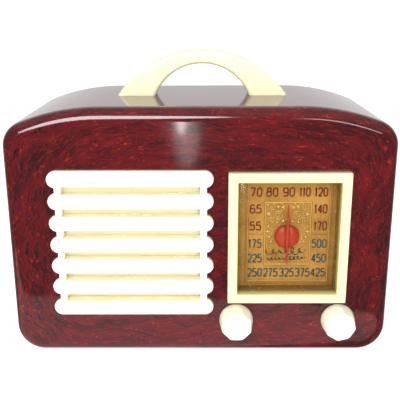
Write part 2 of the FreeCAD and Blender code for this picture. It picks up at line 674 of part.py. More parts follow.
def pointer_hub():
    """Low round button on the pointer, with a neck that grips the dial axis."""
    back = "hub_back"
    ball = "((hub_radius^2 + hub_rise^2) / (2 * hub_rise))"
    made = body("pointer_hub", "axis_x", 0, "axis_z")
    profile = sketch(made, "side")
    outline(
        profile,
        (f"{back} - hub_rise", "0"),
        (back, "hub_radius", f"{back} - hub_rise + {ball}", "0", -1),
        (back, "0"),
    )
    revolve(made, profile)


# ---------------------------------------------------------------- controls

def knob(label, x, turn):
    """Turned knob with a plain face and eight tapered flats round its front."""
    made = body(label, x, 0, "control_z")
    made.Placement.Rotation = FreeCAD.Rotation(FreeCAD.Vector(0, 1, 0), 0)
    bind(made, "Placement.Rotation.Angle", turn)
    front, rear = "-1 * knob_stand", "-1 * knob_gap"
    profile = sketch(made, "side")
    outline(
        profile,
        (front, "0"),
        (front, "knob_front_radius - knob_edge"),
        (f"{front} + knob_edge", "knob_front_radius"),
        (f"{rear} - knob_foot", "knob_radius"),
        (rear, "knob_radius"),
        (rear, "0"),
    )
    revolve(made, profile)
    flat = sketch(made, "side")
    outline(
        flat,
        (f"{front} - flat_lead", "knob_flats / 2 - flat_shy"),
        (f"{rear} - knob_foot", "knob_radius"),
        (f"{rear} - knob_foot", "knob_radius + flat_spare"),
        (f"{front} - flat_lead", "knob_radius + flat_spare"),
    )
    flat_cut = feature(made, "Pocket", flat)
    bind(flat_cut, "Length", "knob_radius * 2")
    flat_cut.Midplane = True
    ring = made.newObject("PartDesign::PolarPattern", f"{label}_flats")
    ring.Originals = [flat_cut]
    ring.Axis = (axis_of(made, "Y_Axis"), [""])
    ring.Angle = 360
    bind(ring, "Occurrences", "knob_sides")
    made.Tip = ring
    bore = sketch(made, "front", rear)
    circle(bore, "0", "0", "shaft_radius + press_gap")
    pocket(made, bore, "knob_bore", -1)


def knob_spring(label, x):
    """Flat spring strip between the shaft's flat and the knob's bore."""
    made = body(label, x, 0, "control_z")
    strip = sketch(made, "front", "-1 * knob_gap - knob_bore + spring_short")
    rectangle(strip, "-1 * spring_half", "shaft_radius - key_flat", "spring_half",
              "shaft_radius - key_flat + spring_thick")
    pad(made, strip, "knob_bore - 2 * spring_short")


def control_shaft(label, x, back, wound):
    """Round shaft with a flat for the knob, and a waist where the drum cord winds on it."""
    made = body(label, x, 0, "control_z")
    front = "-1 * knob_gap - knob_bore + shaft_short"
    levels = [(front, "shaft_radius")]
    if wound:
        levels += [("cord_front - waist_spare", "shaft_radius"),
                   ("cord_front - waist_spare", "wind_radius"),
                   ("cord_front + cord_thick + waist_spare", "wind_radius"),
                   ("cord_front + cord_thick + waist_spare", "shaft_radius")]
    levels.append((back, "shaft_radius"))
    profile = sketch(made, "side")
    outline(profile, (front, "0"), *levels, (back, "0"))
    revolve(made, profile)
    flat = sketch(made, "front", front)
    rectangle(flat, "-1 * shaft_radius", "shaft_radius - key_flat", "shaft_radius",
              "shaft_radius + key_flat")
    pocket(made, flat, "knob_bore - shaft_short")


def bushing(label, x, front, back):
    """Threaded sleeve through the chassis wall, with a shoulder behind it."""
    made = body(label, x, 0, "control_z")
    sleeve = sketch(made, "front", front)
    circle(sleeve, "0", "0", "bushing_radius")
    circle(sleeve, "0", "0", "shaft_radius + running_gap")
    pad(made, sleeve, f"{back} - ({front})")
    return made


def control_nuts():
    """Nuts that hold the volume control in front of the chassis wall and the bushing behind it."""
    made = body("control_nuts")
    for x, front in (("volume_x", "chassis_front - nut_thick"), ("tuning_x", "chassis_front + sheet")):
        ring = sketch(made, "front", front)
        hexagon(ring, x, "control_z", "nut_across")
        circle(ring, x, "control_z", "bushing_radius + press_gap")
        pad(made, ring, "nut_thick")


def volume_control():
    """Potentiometer: threaded sleeve and round can behind the chassis wall."""
    made = bushing("volume_control", "volume_x", "chassis_front - pot_neck", "chassis_front + sheet")
    can = sketch(made, "front", "chassis_front + sheet")
    circle(can, "0", "0", "pot_radius")
    pad(made, can, "pot_long")
    room = sketch(made, "front", "chassis_front + sheet")
    circle(room, "0", "0", "shaft_radius + running_gap")
    pocket(made, room, "pot_long - pot_floor")


def power_switch():
    disc_stack(
        "power_switch", "volume_x", "control_z",
        ("chassis_front + sheet + pot_long", "switch_radius"),
        ("chassis_front + sheet + pot_long + switch_long - switch_bevel", "switch_radius"),
        ("chassis_front + sheet + pot_long + switch_long", "switch_radius - switch_bevel"),
    )


def tuning_retainer():
    """Ring on the tail of the tuning shaft, behind its bushing."""
    made = body("tuning_retainer", "tuning_x", 0, "control_z")
    ring = sketch(made, "front", "chassis_front + bushing_tail + retainer_gap")
    circle(ring, "0", "0", "shaft_radius + retainer_wide")
    circle(ring, "0", "0", "shaft_radius")
    pad(made, ring, "retainer_thick")


def dial_drum():
    """Grooved wheel on the dial axis: hub, thin web with four round holes, and a rim."""
    made = body("dial_drum", "axis_x", 0, "axis_z")
    back = "(drum_front + drum_thick)"
    mid = "(drum_front + drum_thick / 2)"
    profile = sketch(made, "side")
    outline(
        profile,
        ("drum_front", "axis_radius"),
        (back, "axis_radius"),
        (back, "drum_hub"),
        (f"{mid} + drum_web / 2", "drum_hub"),
        (f"{mid} + drum_web / 2", "drum_groove - drum_lip"),
        (back, "drum_groove - drum_lip"),
        (back, "drum_radius"),
        (f"{mid} + groove_half", "drum_groove"),
        (f"{mid} - groove_half", "drum_groove"),
        ("drum_front", "drum_radius"),
        ("drum_front", "drum_groove - drum_lip"),
        (f"{mid} - drum_web / 2", "drum_groove - drum_lip"),
        (f"{mid} - drum_web / 2", "drum_hub"),
        ("drum_front", "drum_hub"),
    )
    revolve(made, profile)
    holes = sketch(made, "front", "drum_front")
    for i, j in SQUARE:
        circle(holes, f"{i} * drum_hole_out", f"{j} * drum_hole_out", "drum_hole")
    pocket(made, holes, "drum_thick")


def drum_cord():
    """Taut loop around the drum and the waist of the tuning shaft: two arcs and two tangents.
    The tangents touch both circles where the radius makes the angle whose cosine is the
    difference of the radii over the distance between the axes."""
    made = body("drum_cord", "axis_x", 0, "axis_z")
    loop = sketch(made, "front", "cord_front")
    for extra in ("cord_thick", "0"):
        drum = f"(drum_cord_radius + {extra})"
        shaft = f"(shaft_cord_radius + {extra})"
        lean = "((drum_cord_radius - shaft_cord_radius) / cord_reach)"
        rise = f"sqrt(1 - {lean}^2)"
        ux, uz = "(cord_dx / cord_reach)", "(cord_dz / cord_reach)"
        ends = []
        for side in (1, -1):
            nx = f"({ux} * {lean} - {side} * {uz} * {rise})"
            nz = f"({uz} * {lean} + {side} * {ux} * {rise})"
            ends.append((nx, nz))
        (ax, az), (bx, bz) = ends
        outline(
            loop,
            (f"cord_dx + {shaft} * {ax}", f"cord_dz + {shaft} * {az}",
             "cord_dx", "cord_dz", 1),
            (f"{drum} * {ax}", f"{drum} * {az}"),
            (f"{drum} * {bx}", f"{drum} * {bz}", "0", "0", 1),
            (f"cord_dx + {shaft} * {bx}", f"cord_dz + {shaft} * {bz}"),
        )
    pad(made, loop, "cord_thick")


# ---------------------------------------------------------------- tuning capacitor

def capacitor_frame():
    """Folded steel frame: front and back plates on a base, with bearing holes for the axis."""
    made = body("capacitor_frame", "axis_x", "gang_front", "axis_z")
    side = sketch(made, "side", "-1 * gang_half")
    outline(
        side,
        ("0", "-1 * gang_drop"),
        ("gang_long", "-1 * gang_drop"),
        ("gang_long", "gang_rise"),
        ("gang_long - sheet", "gang_rise"),
        ("gang_long - sheet", "sheet - gang_drop"),
        ("sheet", "sheet - gang_drop"),
        ("sheet", "gang_rise"),
        ("0", "gang_rise"),
    )
    pad(made, side, "2 * gang_half")
    bearing = sketch(made, "front")
    circle(bearing, "0", "0", "axis_radius + running_gap")
    pocket(made, bearing, "gang_long")


def gang_starts():
    return ["vane_first", "vane_first + gang_step"]


def capacitor_rotor():
    """Dial axis with two sets of half-round vanes, open to the right at mid travel."""
    made = body("capacitor_rotor", "axis_x", "gang_front", "axis_z")
    shaft = sketch(made, "front", "hub_back - gang_front")
    circle(shaft, "0", "0", "axis_radius")
    pad(made, shaft, "gang_back + easy_gap + sheet - hub_back")
    for start in gang_starts():
        vane = sketch(made, "front", start)
        outline(vane, ("0", "vane_radius", "0", "0", 1), ("0", "-1 * vane_radius"))
        vane_pad = pad(made, vane, "vane_thick")
        repeat(made, vane_pad, "Y_Axis", "(vane_count - 1) * vane_pitch", "vane_count")


def capacitor_stator():
    """Fixed vanes between the moving ones, joined by a bar at each side."""
    made = body("capacitor_stator", "axis_x", "gang_front", "axis_z")
    for start in gang_starts():
        first = f"{start} + vane_pitch / 2 + vane_thick / 2"
        bars = sketch(made, "front", f"{start} + vane_pitch / 2")
        for side in (-1, 1):
            circle(bars, f"{side} * (gang_half - bar_radius - stator_edge)",
                   "-1 * stator_top - stator_lap", "bar_radius")
        pad(made, bars, "(vane_count - 2) * vane_pitch + 2 * vane_thick")
        vane = sketch(made, "front", f"{first} - vane_thick / 2")
        rectangle(vane, "stator_margin - gang_half", "stator_low - gang_drop",
                  "gang_half - stator_margin", "-1 * stator_top")
        vane_pad = pad(made, vane, "vane_thick")
        repeat(made, vane_pad, "Y_Axis", "(vane_count - 2) * vane_pitch", "vane_count - 1")


def capacitor_trimmers():
    """Two small adjusting capacitors on the right side of the frame's base."""
    made = body("capacitor_trimmers", "axis_x + gang_half", "gang_front", "axis_z - gang_drop")
    for start in ("trimmer_first", "trimmer_first + trimmer_step"):
        base = sketch(made, "side", "easy_gap")
        rectangle(base, start, "0", f"{start} + trimmer_side", "trimmer_side")
        pad(made, base, "trimmer_thick")
        head = sketch(made, "side", "easy_gap + trimmer_thick")
        circle(head, f"{start} + trimmer_side / 2", "trimmer_side / 2", "trimmer_screw")
        pad(made, head, "trimmer_head")


def capacitor_grommets():
    """Three rubber buffers between the capacitor and the chassis."""
    made = body("capacitor_grommets", "axis_x", "gang_front", "chassis_top")
    buffers = sketch(made, "top")
    for x, y in (("-1 * buffer_out", "buffer_front"), ("buffer_out", "buffer_front"),
                 ("0", "gang_long - buffer_back")):
        circle(buffers, x, y, "grommet_radius")
    pad(made, buffers, "gang_bottom - chassis_top")


# ---------------------------------------------------------------- chassis and tubes

def chassis_outline(drawing, inset):
    """Plan of the chassis: narrow behind the speaker at the left, deep at the right."""
    outline(
        drawing,
        (f"{inset} - chassis_side", f"chassis_left_front + {inset}"),
        (f"chassis_step + {inset}", f"chassis_left_front + {inset}"),
        (f"chassis_step + {inset}", f"chassis_front + {inset}"),
        (f"chassis_side - {inset}", f"chassis_front + {inset}"),
        (f"chassis_side - {inset}", f"chassis_back - {inset}"),
        (f"{inset} - chassis_side", f"chassis_back - {inset}"),
    )


def chassis():
    made = body("chassis")
    plan = sketch(made, "top", "chassis_floor")
    chassis_outline(plan, "0")
    pad(made, plan, "chassis_top - chassis_floor")
    room = sketch(made, "top", "chassis_floor")
    chassis_outline(room, "sheet")
    pocket(made, room, "chassis_top - chassis_floor - sheet")
    tabs = sketch(made, "top", "chassis_floor")
    for x, y in CHASSIS_SCREWS:
        rectangle(tabs, f"{x} - tab / 2", f"{y} - tab / 2", f"{x} + tab / 2", f"{y} + tab / 2")
    pad(made, tabs, "sheet")
    tab_holes = sketch(made, "top", "chassis_floor")
    for x, y in CHASSIS_SCREWS:
        circle(tab_holes, x, y, "screw_radius + screw_gap")
    pocket(made, tab_holes, "sheet")
    control_holes = sketch(made, "front", "chassis_front")
    for x in ("volume_x", "tuning_x"):
        circle(control_holes, x, "control_z", "bushing_radius + press_gap")
    pocket(made, control_holes, "sheet")
    socket_hole = sketch(made, "top", "chassis_top - sheet")
    circle(socket_hole, "tube_first", "tube_y", "socket_radius + easy_gap")
    first_hole = pocket(made, socket_hole, "sheet")
    repeat(made, first_hole, "X_Axis", "(tube_count - 1) * tube_pitch", "tube_count")


def chassis_screws():
    made = body("chassis_screws")
    heads = sketch(made, "top")
    shanks = sketch(made, "top")
    for x, y in CHASSIS_SCREWS:
        circle(heads, x, y, "head_radius")
        circle(shanks, x, y, "screw_radius")
    pad(made, shanks, "wall + sheet + screw_end")
    pad(made, heads, "head_thick", -1)


def chassis_nuts():
    made = body("chassis_nuts")
    rings = sketch(made, "top", "chassis_floor + sheet")
    for x, y in CHASSIS_SCREWS:
        hexagon(rings, x, y, "4 * screw_radius")
        circle(rings, x, y, "screw_radius")
    pad(made, rings, "nut_thick")


def tube_row(label, draw):
    """One turned piece about a z axis, repeated along the row of tubes."""
    made = body(label, "tube_first", "tube_y", "chassis_top")
    profile = sketch(made, "front")
    draw(profile)
    first = revolve(made, profile, "V_Axis")
    repeat(made, first, "X_Axis", "(tube_count - 1) * tube_pitch", "tube_count")
    return made


def tube_sockets():
    def draw(profile):
        outline(
            profile,
            ("pin_circle - pin_room", "-1 * socket_deep"),
            ("socket_radius", "-1 * socket_deep"),
            ("socket_radius", "0"),
            ("socket_rim", "0"),
            ("socket_rim", "socket_lip"),
            ("pin_circle - pin_room", "socket_lip"),
        )
    made = tube_row("tube_sockets", draw)
    holes = sketch(made, "top", "-1 * socket_deep")
    for i, j in PIN_SPOTS:
        circle(holes, f"{i} * pin_circle", f"{j} * pin_circle", "pin_radius + easy_gap")
    first = pocket(made, holes, "socket_deep + socket_lip")
    repeat(made, first, "X_Axis", "(tube_count - 1) * tube_pitch", "tube_count")


PIN_SPOTS = [("1", "0"), ("sqrt(0.5)", "sqrt(0.5)"), ("0", "1"), ("-1 * sqrt(0.5)", "sqrt(0.5)"),
             ("-1", "0"), ("-1 * sqrt(0.5)", "-1 * sqrt(0.5)"), ("0", "-1"),
             ("sqrt(0.5)", "-1 * sqrt(0.5)")]


def tube_bases():
    """Moulded base with a waist and eight pins, standing on its socket."""
    def draw(profile):
        outline(
            profile,
            ("0", "base_lift"),
            ("base_radius - base_bevel", "base_lift"),
            ("base_radius", "base_lift + base_bevel"),
            ("base_radius", "base_tall"),
            ("glass_radius + easy_gap", "base_tall"),
            ("glass_radius + easy_gap", "base_tall - glass_sunk"),
            ("0", "base_tall - glass_sunk"),
        )
    made = tube_row("tube_bases", draw)
    pins = sketch(made, "top", "base_lift")
    for i, j in PIN_SPOTS:
        circle(pins, f"{i} * pin_circle", f"{j} * pin_circle", "pin_radius")
    first = pad(made, pins, "pin_long", -1)
    repeat(made, first, "X_Axis", "(tube_count - 1) * tube_pitch", "tube_count")


def tube_glasses():
    """Straight bulb with a domed top, closed at the foot inside its base."""
    low, shoulder = "(base_tall - glass_sunk + easy_gap)", "(base_tall + glass_tall - glass_radius)"

    def draw(profile):
        outline(
            profile,
            ("0", low),
            ("glass_radius", low),
            ("glass_radius", shoulder),
            ("0", f"{shoulder} + glass_radius", "0", shoulder, 1),
            ("0", f"{shoulder} + glass_radius - glass_wall"),
            ("glass_radius - glass_wall", shoulder, "0", shoulder, -1),
            ("glass_radius - glass_wall", f"{low} + glass_wall"),
            ("0", f"{low} + glass_wall"),
        )
    tube_row("tube_glasses", draw)


def tube_electrodes():
    """Dark anode cylinder with a getter disc above it, standing inside each bulb."""
    low = "(base_tall - glass_sunk + easy_gap + glass_wall)"
    anode = f"({low} + stem_tall)"
    getter = f"({anode} + plate_tall + getter_rise)"

    def draw(profile):
        outline(
            profile,
            ("0", low),
            ("stem_radius", low),
            ("stem_radius", anode),
            ("plate_radius", anode),
            ("plate_radius", f"{anode} + plate_tall"),
            ("getter_stem", f"{anode} + plate_tall"),
            ("getter_stem", getter),
            ("getter_radius", getter),
            ("getter_radius", f"{getter} + getter_thick"),
            ("0", f"{getter} + getter_thick"),
        )
    tube_row("tube_electrodes", draw)


def coil_cans():
    """Two square screening cans with round corners, and a small lug hole on top of each."""
    made = body("coil_cans", 0, 0, "chassis_top")
    plans = sketch(made, "top")
    holes = sketch(made, "top", "can_tall - lug_deep")
    for x in ("can_left_x", "can_right_x"):
        rounded(plans, x, "can_y", "can_side / 2", "can_side / 2", "can_corner")
        circle(holes, x, "can_y", "lug_radius")
    pad(made, plans, "can_tall")
    pocket(made, holes, "lug_deep")


def under_chassis(label, x, y, z, radius, length, count, pitch):
    """Row of round parts lying along x under the chassis top, spaced along y."""
    made = body(label, x, y, z)
    end = sketch(made, "side")
    circle(end, "0", "0", radius)
    first = pad(made, end, length)
    if count > 1:
        repeat(made, first, "Y_Axis", f"{count - 1} * {pitch}", count)


# ---------------------------------------------------------------- speaker

def speaker_frame():
    """Pressed basket: flat rim, cone of four ribs and a back ring that holds the magnet."""
    made = body("speaker_frame", "grille_x", 0, "grille_z")
    profile = sketch(made, "side")
    outline(
        profile,
        ("flange_front", "speaker_radius"),
        ("flange_back", "speaker_radius"),
        ("flange_back", "flange_inner + basket_lead"),
        ("basket_back", "magnet_radius"),
        ("basket_back", "coil_radius + basket_lap"),
        ("basket_back - sheet", "coil_radius + basket_lap"),
        ("basket_back - sheet", "magnet_radius - basket_step"),
        ("flange_front", "flange_inner"),
    )
    revolve(made, profile)
    openings = sketch(made, "front", "flange_back + basket_margin")
    for i, j in SQUARE:
        circle(openings, f"{i} * basket_hole_out", f"{j} * basket_hole_out", "basket_hole")
    pocket(made, openings, "basket_back - flange_back - 2 * basket_margin")
    holes = sketch(made, "front", "flange_front")
    speaker_holes(holes, "0", "0")
    pocket(made, holes, "sheet + basket_step")


def speaker_gasket():
    made = body("speaker_gasket")
    ring = sketch(made, "front", "board_back")
    circle(ring, "grille_x", "grille_z", "speaker_radius")
    circle(ring, "grille_x", "grille_z", "flange_inner")
    speaker_holes(ring)
    pad(made, ring, "gasket_thick")


def speaker_cone():
    """Paper cone: thin straight-sided funnel, narrow end at the voice coil."""
    rim_y = "(flange_back + cone_lead)"
    made = body("speaker_cone", "grille_x", 0, "grille_z")
    profile = sketch(made, "side")
    outline(
        profile,
        (rim_y, "cone_radius - cone_lip"),
        (rim_y, "cone_radius - 2 * cone_lip"),
        ("cone_neck", "coil_radius + former_wall"),
        ("cone_neck + cone_thick", "coil_radius + former_wall"),
        (f"{rim_y} + cone_thick", "cone_radius - 1.5 * cone_lip"),
        (f"{rim_y} + cone_thick", "cone_radius - cone_lip"),
    )
    revolve(made, profile)


def voice_coil():
    """Thin tube from the cone's neck into the magnet gap."""
    made = body("voice_coil", "grille_x", 0, "grille_z")
    tube = sketch(made, "front", "cone_neck - former_lead")
    circle(tube, "0", "0", "coil_radius + former_wall")
    circle(tube, "0", "0", "coil_radius - coil_thick")
    pad(made, tube, "magnet_front + former_deep - cone_neck + former_lead")


def dust_cap():
    """Low dome that closes the front of the voice coil tube."""
    made = body("dust_cap", "grille_x", 0, "grille_z")
    profile = sketch(made, "side")
    front = "(cone_neck - former_lead - cap_gap)"
    radius = "(coil_radius + former_wall)"
    outline(
        profile,
        (f"{front} - cap_rise", "0"),
        (f"{front} - cap_curve", f"{radius} / 2"),
        (f"{front} - cap_lip", radius),
        (front, radius),
        (front, "0"),
    )
    revolve(made, profile)


def speaker_magnet():
    """Iron pot with a centre pole and a front ring, leaving a round gap for the voice coil."""
    made = body("speaker_magnet", "grille_x", 0, "grille_z")
    profile = sketch(made, "side")
    outline(
        profile,
        ("magnet_front - pole_lead", "0"),
        ("magnet_front - pole_lead", "pole_radius - pole_slim"),
        ("magnet_back - pot_wall", "pole_radius - pole_slim"),
        ("magnet_back - pot_wall", "magnet_radius - pot_wall"),
        ("magnet_front + pot_wall", "magnet_radius - pot_wall"),
        ("magnet_front + pot_wall", "coil_radius + coil_gap"),
        ("magnet_front", "coil_radius + coil_gap"),
        ("magnet_front", "magnet_radius"),
        ("magnet_back - pot_bevel", "magnet_radius"),
        ("magnet_back", "magnet_radius - pot_bevel"),
        ("magnet_back", "0"),
    )
    revolve(made, profile)


def transformer_core():
    """Stack of iron sheets with a square hole each side of the middle limb."""
    made = body("transformer_core", "grille_x", "core_front", "bracket_z + sheet")
    face = sketch(made, "front", "winding_proud")
    rectangle(face, "-1 * core_wide / 2", "0", "core_wide / 2", "core_tall")
    rectangle(face, "-1 * core_wide / 2 + core_side", "yoke", "-1 * limb_half",
              "core_tall - yoke")
    rectangle(face, "limb_half", "yoke", "core_wide / 2 - core_side", "core_tall - yoke")
    pad(made, face, "core_deep - 2 * winding_proud")


def transformer_coil():
    """Winding on the middle limb: a thick round-cornered sleeve that shows at both faces."""
    made = body("transformer_coil", "grille_x", "core_front", "bracket_z + sheet")
    section = sketch(made, "top", "yoke + coil_slack")
    rounded(section, "0", "core_deep / 2", "core_wide / 2 - core_side - coil_slack",
            "core_deep / 2", "coil_corner")
    rectangle(section, "-1 * limb_half - easy_gap", "winding_proud - easy_gap",
              "limb_half + easy_gap", "core_deep - winding_proud + easy_gap")
    pad(made, section, "core_tall - 2 * yoke - 2 * coil_slack")


def transformer_bracket():
    """Bent strip from the top of the board, under the transformer core."""
    made = body("transformer_bracket", "grille_x", 0, "bracket_z")
    profile = sketch(made, "side", "-1 * core_wide / 2 + bracket_inset")
    outline(
        profile,
        ("board_back", "-1 * bracket_leg + bracket_short * 2"),
        ("core_front + core_deep", "-1 * bracket_leg + bracket_short * 2"),
        ("core_front + core_deep", "sheet"),
        ("board_back + sheet", "sheet"),
        ("board_back + sheet", "bracket_leg - bracket_short"),
        ("board_back", "bracket_leg - bracket_short"),
    )
    pad(made, profile, "core_wide - 2 * bracket_inset")


# ---------------------------------------------------------------- dial lamp

def dial_lamp():
    """Small round-nosed bulb lying along y above the drum."""
    nose = "(lamp_front + lamp_radius)"
    made = body("dial_lamp", "axis_x", 0, "lamp_z")
    profile = sketch(made, "side")
    outline(
        profile,
        ("lamp_front", "0"),
        (nose, "lamp_radius", nose, "0", -1),
        ("lamp_front + lamp_long", "lamp_radius * lamp_nose"),
        ("lamp_front + lamp_long", "0"),
    )
    revolve(made, profile)


def lamp_socket():
    """Bulb holder on a bent strip that rises from the front plate of the tuning capacitor."""
    made = body("lamp_socket", "axis_x")
    back = "(lamp_front + lamp_long)"
    low = "(lamp_z - lamp_cap - strip_thick)"
    holder = sketch(made, "front", back)
    circle(holder, "0", "lamp_z", "lamp_cap")
    pad(made, holder, "lamp_holder_long")
    strip = sketch(made, "side", "-1 * strip_wide / 2")
    front = "(gang_front - strip_thick)"
    outline(
        strip,
        (front, "axis_z + gang_rise - strip_lap"),
        ("gang_front", "axis_z + gang_rise - strip_lap"),
        ("gang_front", low),
        (f"{back} + lamp_holder_long", low),
        (f"{back} + lamp_holder_long", f"{low} + 2 * strip_thick"),
        (back, f"{low} + 2 * strip_thick"),
        (back, f"{low} + strip_thick"),
        (front, f"{low} + strip_thick"),
    )
    pad(made, strip, "strip_wide")


# ---------------------------------------------------------------- back

def back_cover():
    """Pressed board in the rear rebate, with rows of slots, screw holes and a cord hole."""
    made = body("back_cover")
    board = sketch(made, "front", "cover_front")
    cabinet_outline(board, "rim + fit_gap")
    pad(made, board, "cover_thick")
    slots = sketch(made, "front", "cover_front")
    for column in (-1.5, -0.5, 0.5, 1.5):
        stadium(slots, f"{column} * vent_pitch_x", "vent_low", "vent_wide / 2", "vent_tall / 2")
    row = pocket(made, slots, "cover_thick")
    repeat(made, row, "Z_Axis", "(vent_rows - 1) * vent_pitch_z", "vent_rows")
    holes = sketch(made, "front", "cover_front")
    for x, z in BOSSES:
        circle(holes, x, z, "screw_radius - screw_thin + screw_gap")
    circle(holes, "outlet_x", "outlet_z", "outlet_radius")
    pocket(made, holes, "cover_thick")


def loop_antenna():
    """Flat winding of wire on the inside of the back cover."""
    made = body("loop_antenna")
    middle, tall = "(loop_low + loop_high) / 2", "(loop_high - loop_low) / 2"
    ring = sketch(made, "front", "cover_front - loop_thick")
    rounded(ring, "0", middle, "loop_half", tall, "loop_corner")
    rounded(ring, "0", middle, "loop_half - loop_band", f"{tall} - loop_band",
            "loop_inner_corner")
    pad(made, ring, "loop_thick")


def cord_grommet():
    """Rubber ring in the back cover, with a lip on both sides of the board."""
    made = body("cord_grommet", "outlet_x", 0, "outlet_z")
    profile = sketch(made, "side")
    outline(
        profile,
        ("cover_front - outlet_lip", "outlet_bore"),
        ("cabinet_depth + grommet_stand", "outlet_bore"),
        ("cabinet_depth + grommet_stand", "outlet_rim - grommet_bevel"),
        ("cabinet_depth + grommet_stand - grommet_bevel", "outlet_rim"),
        ("cover_back", "outlet_rim"),
        ("cover_back", "outlet_radius"),
        ("cover_front", "outlet_radius"),
        ("cover_front", "outlet_rim"),
        ("cover_front - outlet_lip", "outlet_rim"),
    )
    revolve(made, profile)


def build():
    cabinet()
    handle()
    handle_screws()
    feet()
    grille()
    grille_cloth()
    baffle_board()
    screws("baffle_screws", BOARD_SCREWS, "wall - pilot_deep", "board_back")
    dial_bezel()
    bezel_clips()
    dial_lens()
    dial_plate()
    dial_brackets()
    dial_pointer()
    pointer_hub()
    knob("volume_knob", "volume_x", "0")
    knob("tuning_knob", "tuning_x", "-1 * tuning_turn")
    knob_spring("volume_knob_spring", "volume_x")
    knob_spring("tuning_knob_spring", "tuning_x")
    control_shaft("volume_shaft", "volume_x", "chassis_front + sheet + pot_long - pot_end", False)
    control_shaft("tuning_shaft", "tuning_x", "chassis_front + bushing_tail + tail_spare", True)
    volume_control()
    power_switch()
    bushing("tuning_bushing", "tuning_x", "chassis_front - bushing_lead",
            "chassis_front + bushing_tail")
    control_nuts()
    tuning_retainer()
    dial_drum()
    drum_cord()
    capacitor_frame()
    capacitor_rotor()
    capacitor_stator()
    capacitor_trimmers()
    capacitor_grommets()
    chassis()
    chassis_screws()
    chassis_nuts()
    tube_sockets()
    tube_bases()
    tube_glasses()
    tube_electrodes()
    coil_cans()
    under_chassis("filter_capacitor", "filter_x", "tube_y", "filter_z", "filter_radius",
                  "filter_long", 1, "0")
    under_chassis("paper_capacitors", "paper_x", "paper_y", "filter_z", "paper_radius",
                  "paper_long", 4, "paper_pitch")
    under_chassis("resistors", "resistor_x", "resistor_y", "resistor_z", "resistor_radius",
                  "resistor_long", 5, "resistor_pitch")
    speaker_frame()
    speaker_gasket()
    speaker_cone()
    voice_coil()
    dust_cap()
    speaker_magnet()
    spots = [(f"grille_x + {i}", f"grille_z + {j}") for i, j in SPEAKER_SCREWS]
    screws("speaker_screws", spots, "board_front + cloth_thick", "flange_back", "speaker_screw",
           "speaker_screw", "speaker_head")
    transformer_core()
    transformer_coil()
    transformer_bracket()
    dial_lamp()
    lamp_socket()
    back_cover()
    screws("back_screws", BOSSES, "cover_front - boss_length + boss_floor + screw_thin", "cover_back",
           "head_thick", "screw_radius - screw_thin", "head_radius")
    loop_antenna()
    cord_grommet()


def check():
    """Stop on any failed object, on a cut that removed nothing and on a poor solid."""
    for item in doc.Objects:
        if "Invalid" in item.State or "Error" in item.State:
            raise RuntimeError(f"{item.Label} failed: {item.State} {item.getStatusString()}")
        if item.TypeId == "PartDesign::Pocket":
            if item.BaseFeature.Shape.Volume - item.Shape.Volume < 0.01:
                raise RuntimeError(f"{item.Label} cuts nothing")
    for piece in pieces:
        if piece.Shape.isNull() or not piece.Shape.isValid() or not piece.Shape.Solids:
            raise RuntimeError(f"{piece.Label} has no sound solid")


build()
doc.recompute()
check()
os.makedirs("parts", exist_ok=True)
for piece in pieces:
    piece.Shape.exportStep(os.path.join("parts", f"{piece.Label}.step"))
print(len(pieces), "pieces")
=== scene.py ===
import json
import math

import bmesh
import bpy
import numpy as np
from mathutils import Matrix, Vector


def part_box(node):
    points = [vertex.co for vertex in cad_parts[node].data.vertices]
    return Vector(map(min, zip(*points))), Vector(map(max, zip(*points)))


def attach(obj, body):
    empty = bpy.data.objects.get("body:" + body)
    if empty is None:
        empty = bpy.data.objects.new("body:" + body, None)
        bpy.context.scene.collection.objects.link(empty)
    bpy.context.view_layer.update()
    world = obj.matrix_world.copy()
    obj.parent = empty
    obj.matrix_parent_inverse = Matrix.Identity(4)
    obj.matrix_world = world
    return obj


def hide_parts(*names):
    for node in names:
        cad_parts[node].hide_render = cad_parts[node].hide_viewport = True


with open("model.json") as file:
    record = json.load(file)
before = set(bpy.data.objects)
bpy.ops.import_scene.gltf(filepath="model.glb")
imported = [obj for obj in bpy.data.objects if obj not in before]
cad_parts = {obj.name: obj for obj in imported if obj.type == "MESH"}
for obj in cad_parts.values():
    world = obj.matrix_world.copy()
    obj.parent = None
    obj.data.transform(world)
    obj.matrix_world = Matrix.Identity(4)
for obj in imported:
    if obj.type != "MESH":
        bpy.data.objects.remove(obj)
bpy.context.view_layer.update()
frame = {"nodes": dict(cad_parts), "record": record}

# Looks of a small table radio: oxblood cast cabinet, ivory handle, grille, bezel and knobs,
# and a gilt dial. Lengths are in metres. +X is the listener's right, the front faces -Y.

MM = 0.001


# ---------------------------------------------------------------- places read from the frame

def middle(node):
    low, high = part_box(node)
    return (low + high) / 2


CABINET_LOW, CABINET_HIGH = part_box("cabinet")
FRONT = CABINET_LOW.y
BASE = CABINET_LOW.z
TOP = CABINET_HIGH.z
HALF_WIDE = CABINET_HIGH.x
HALF_TALL = (TOP - BASE) / 2
MID_TALL = (TOP + BASE) / 2
PLATE_LOW, PLATE_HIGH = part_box("dial_plate")
DIAL_X = (PLATE_LOW.x + PLATE_HIGH.x) / 2
DIAL_Z = (PLATE_LOW.z + PLATE_HIGH.z) / 2
AXIS = middle("pointer_hub")
WINDOW = middle("dial_bezel")
WINDOW_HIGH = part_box("dial_bezel")[1]
WINDOW_BORDER = 5.8 * MM
WINDOW_HALF_WIDE = WINDOW_HIGH.x - WINDOW.x - WINDOW_BORDER
WINDOW_HALF_TALL = WINDOW_HIGH.z - WINDOW.z - WINDOW_BORDER


# ---------------------------------------------------------------- shader maths

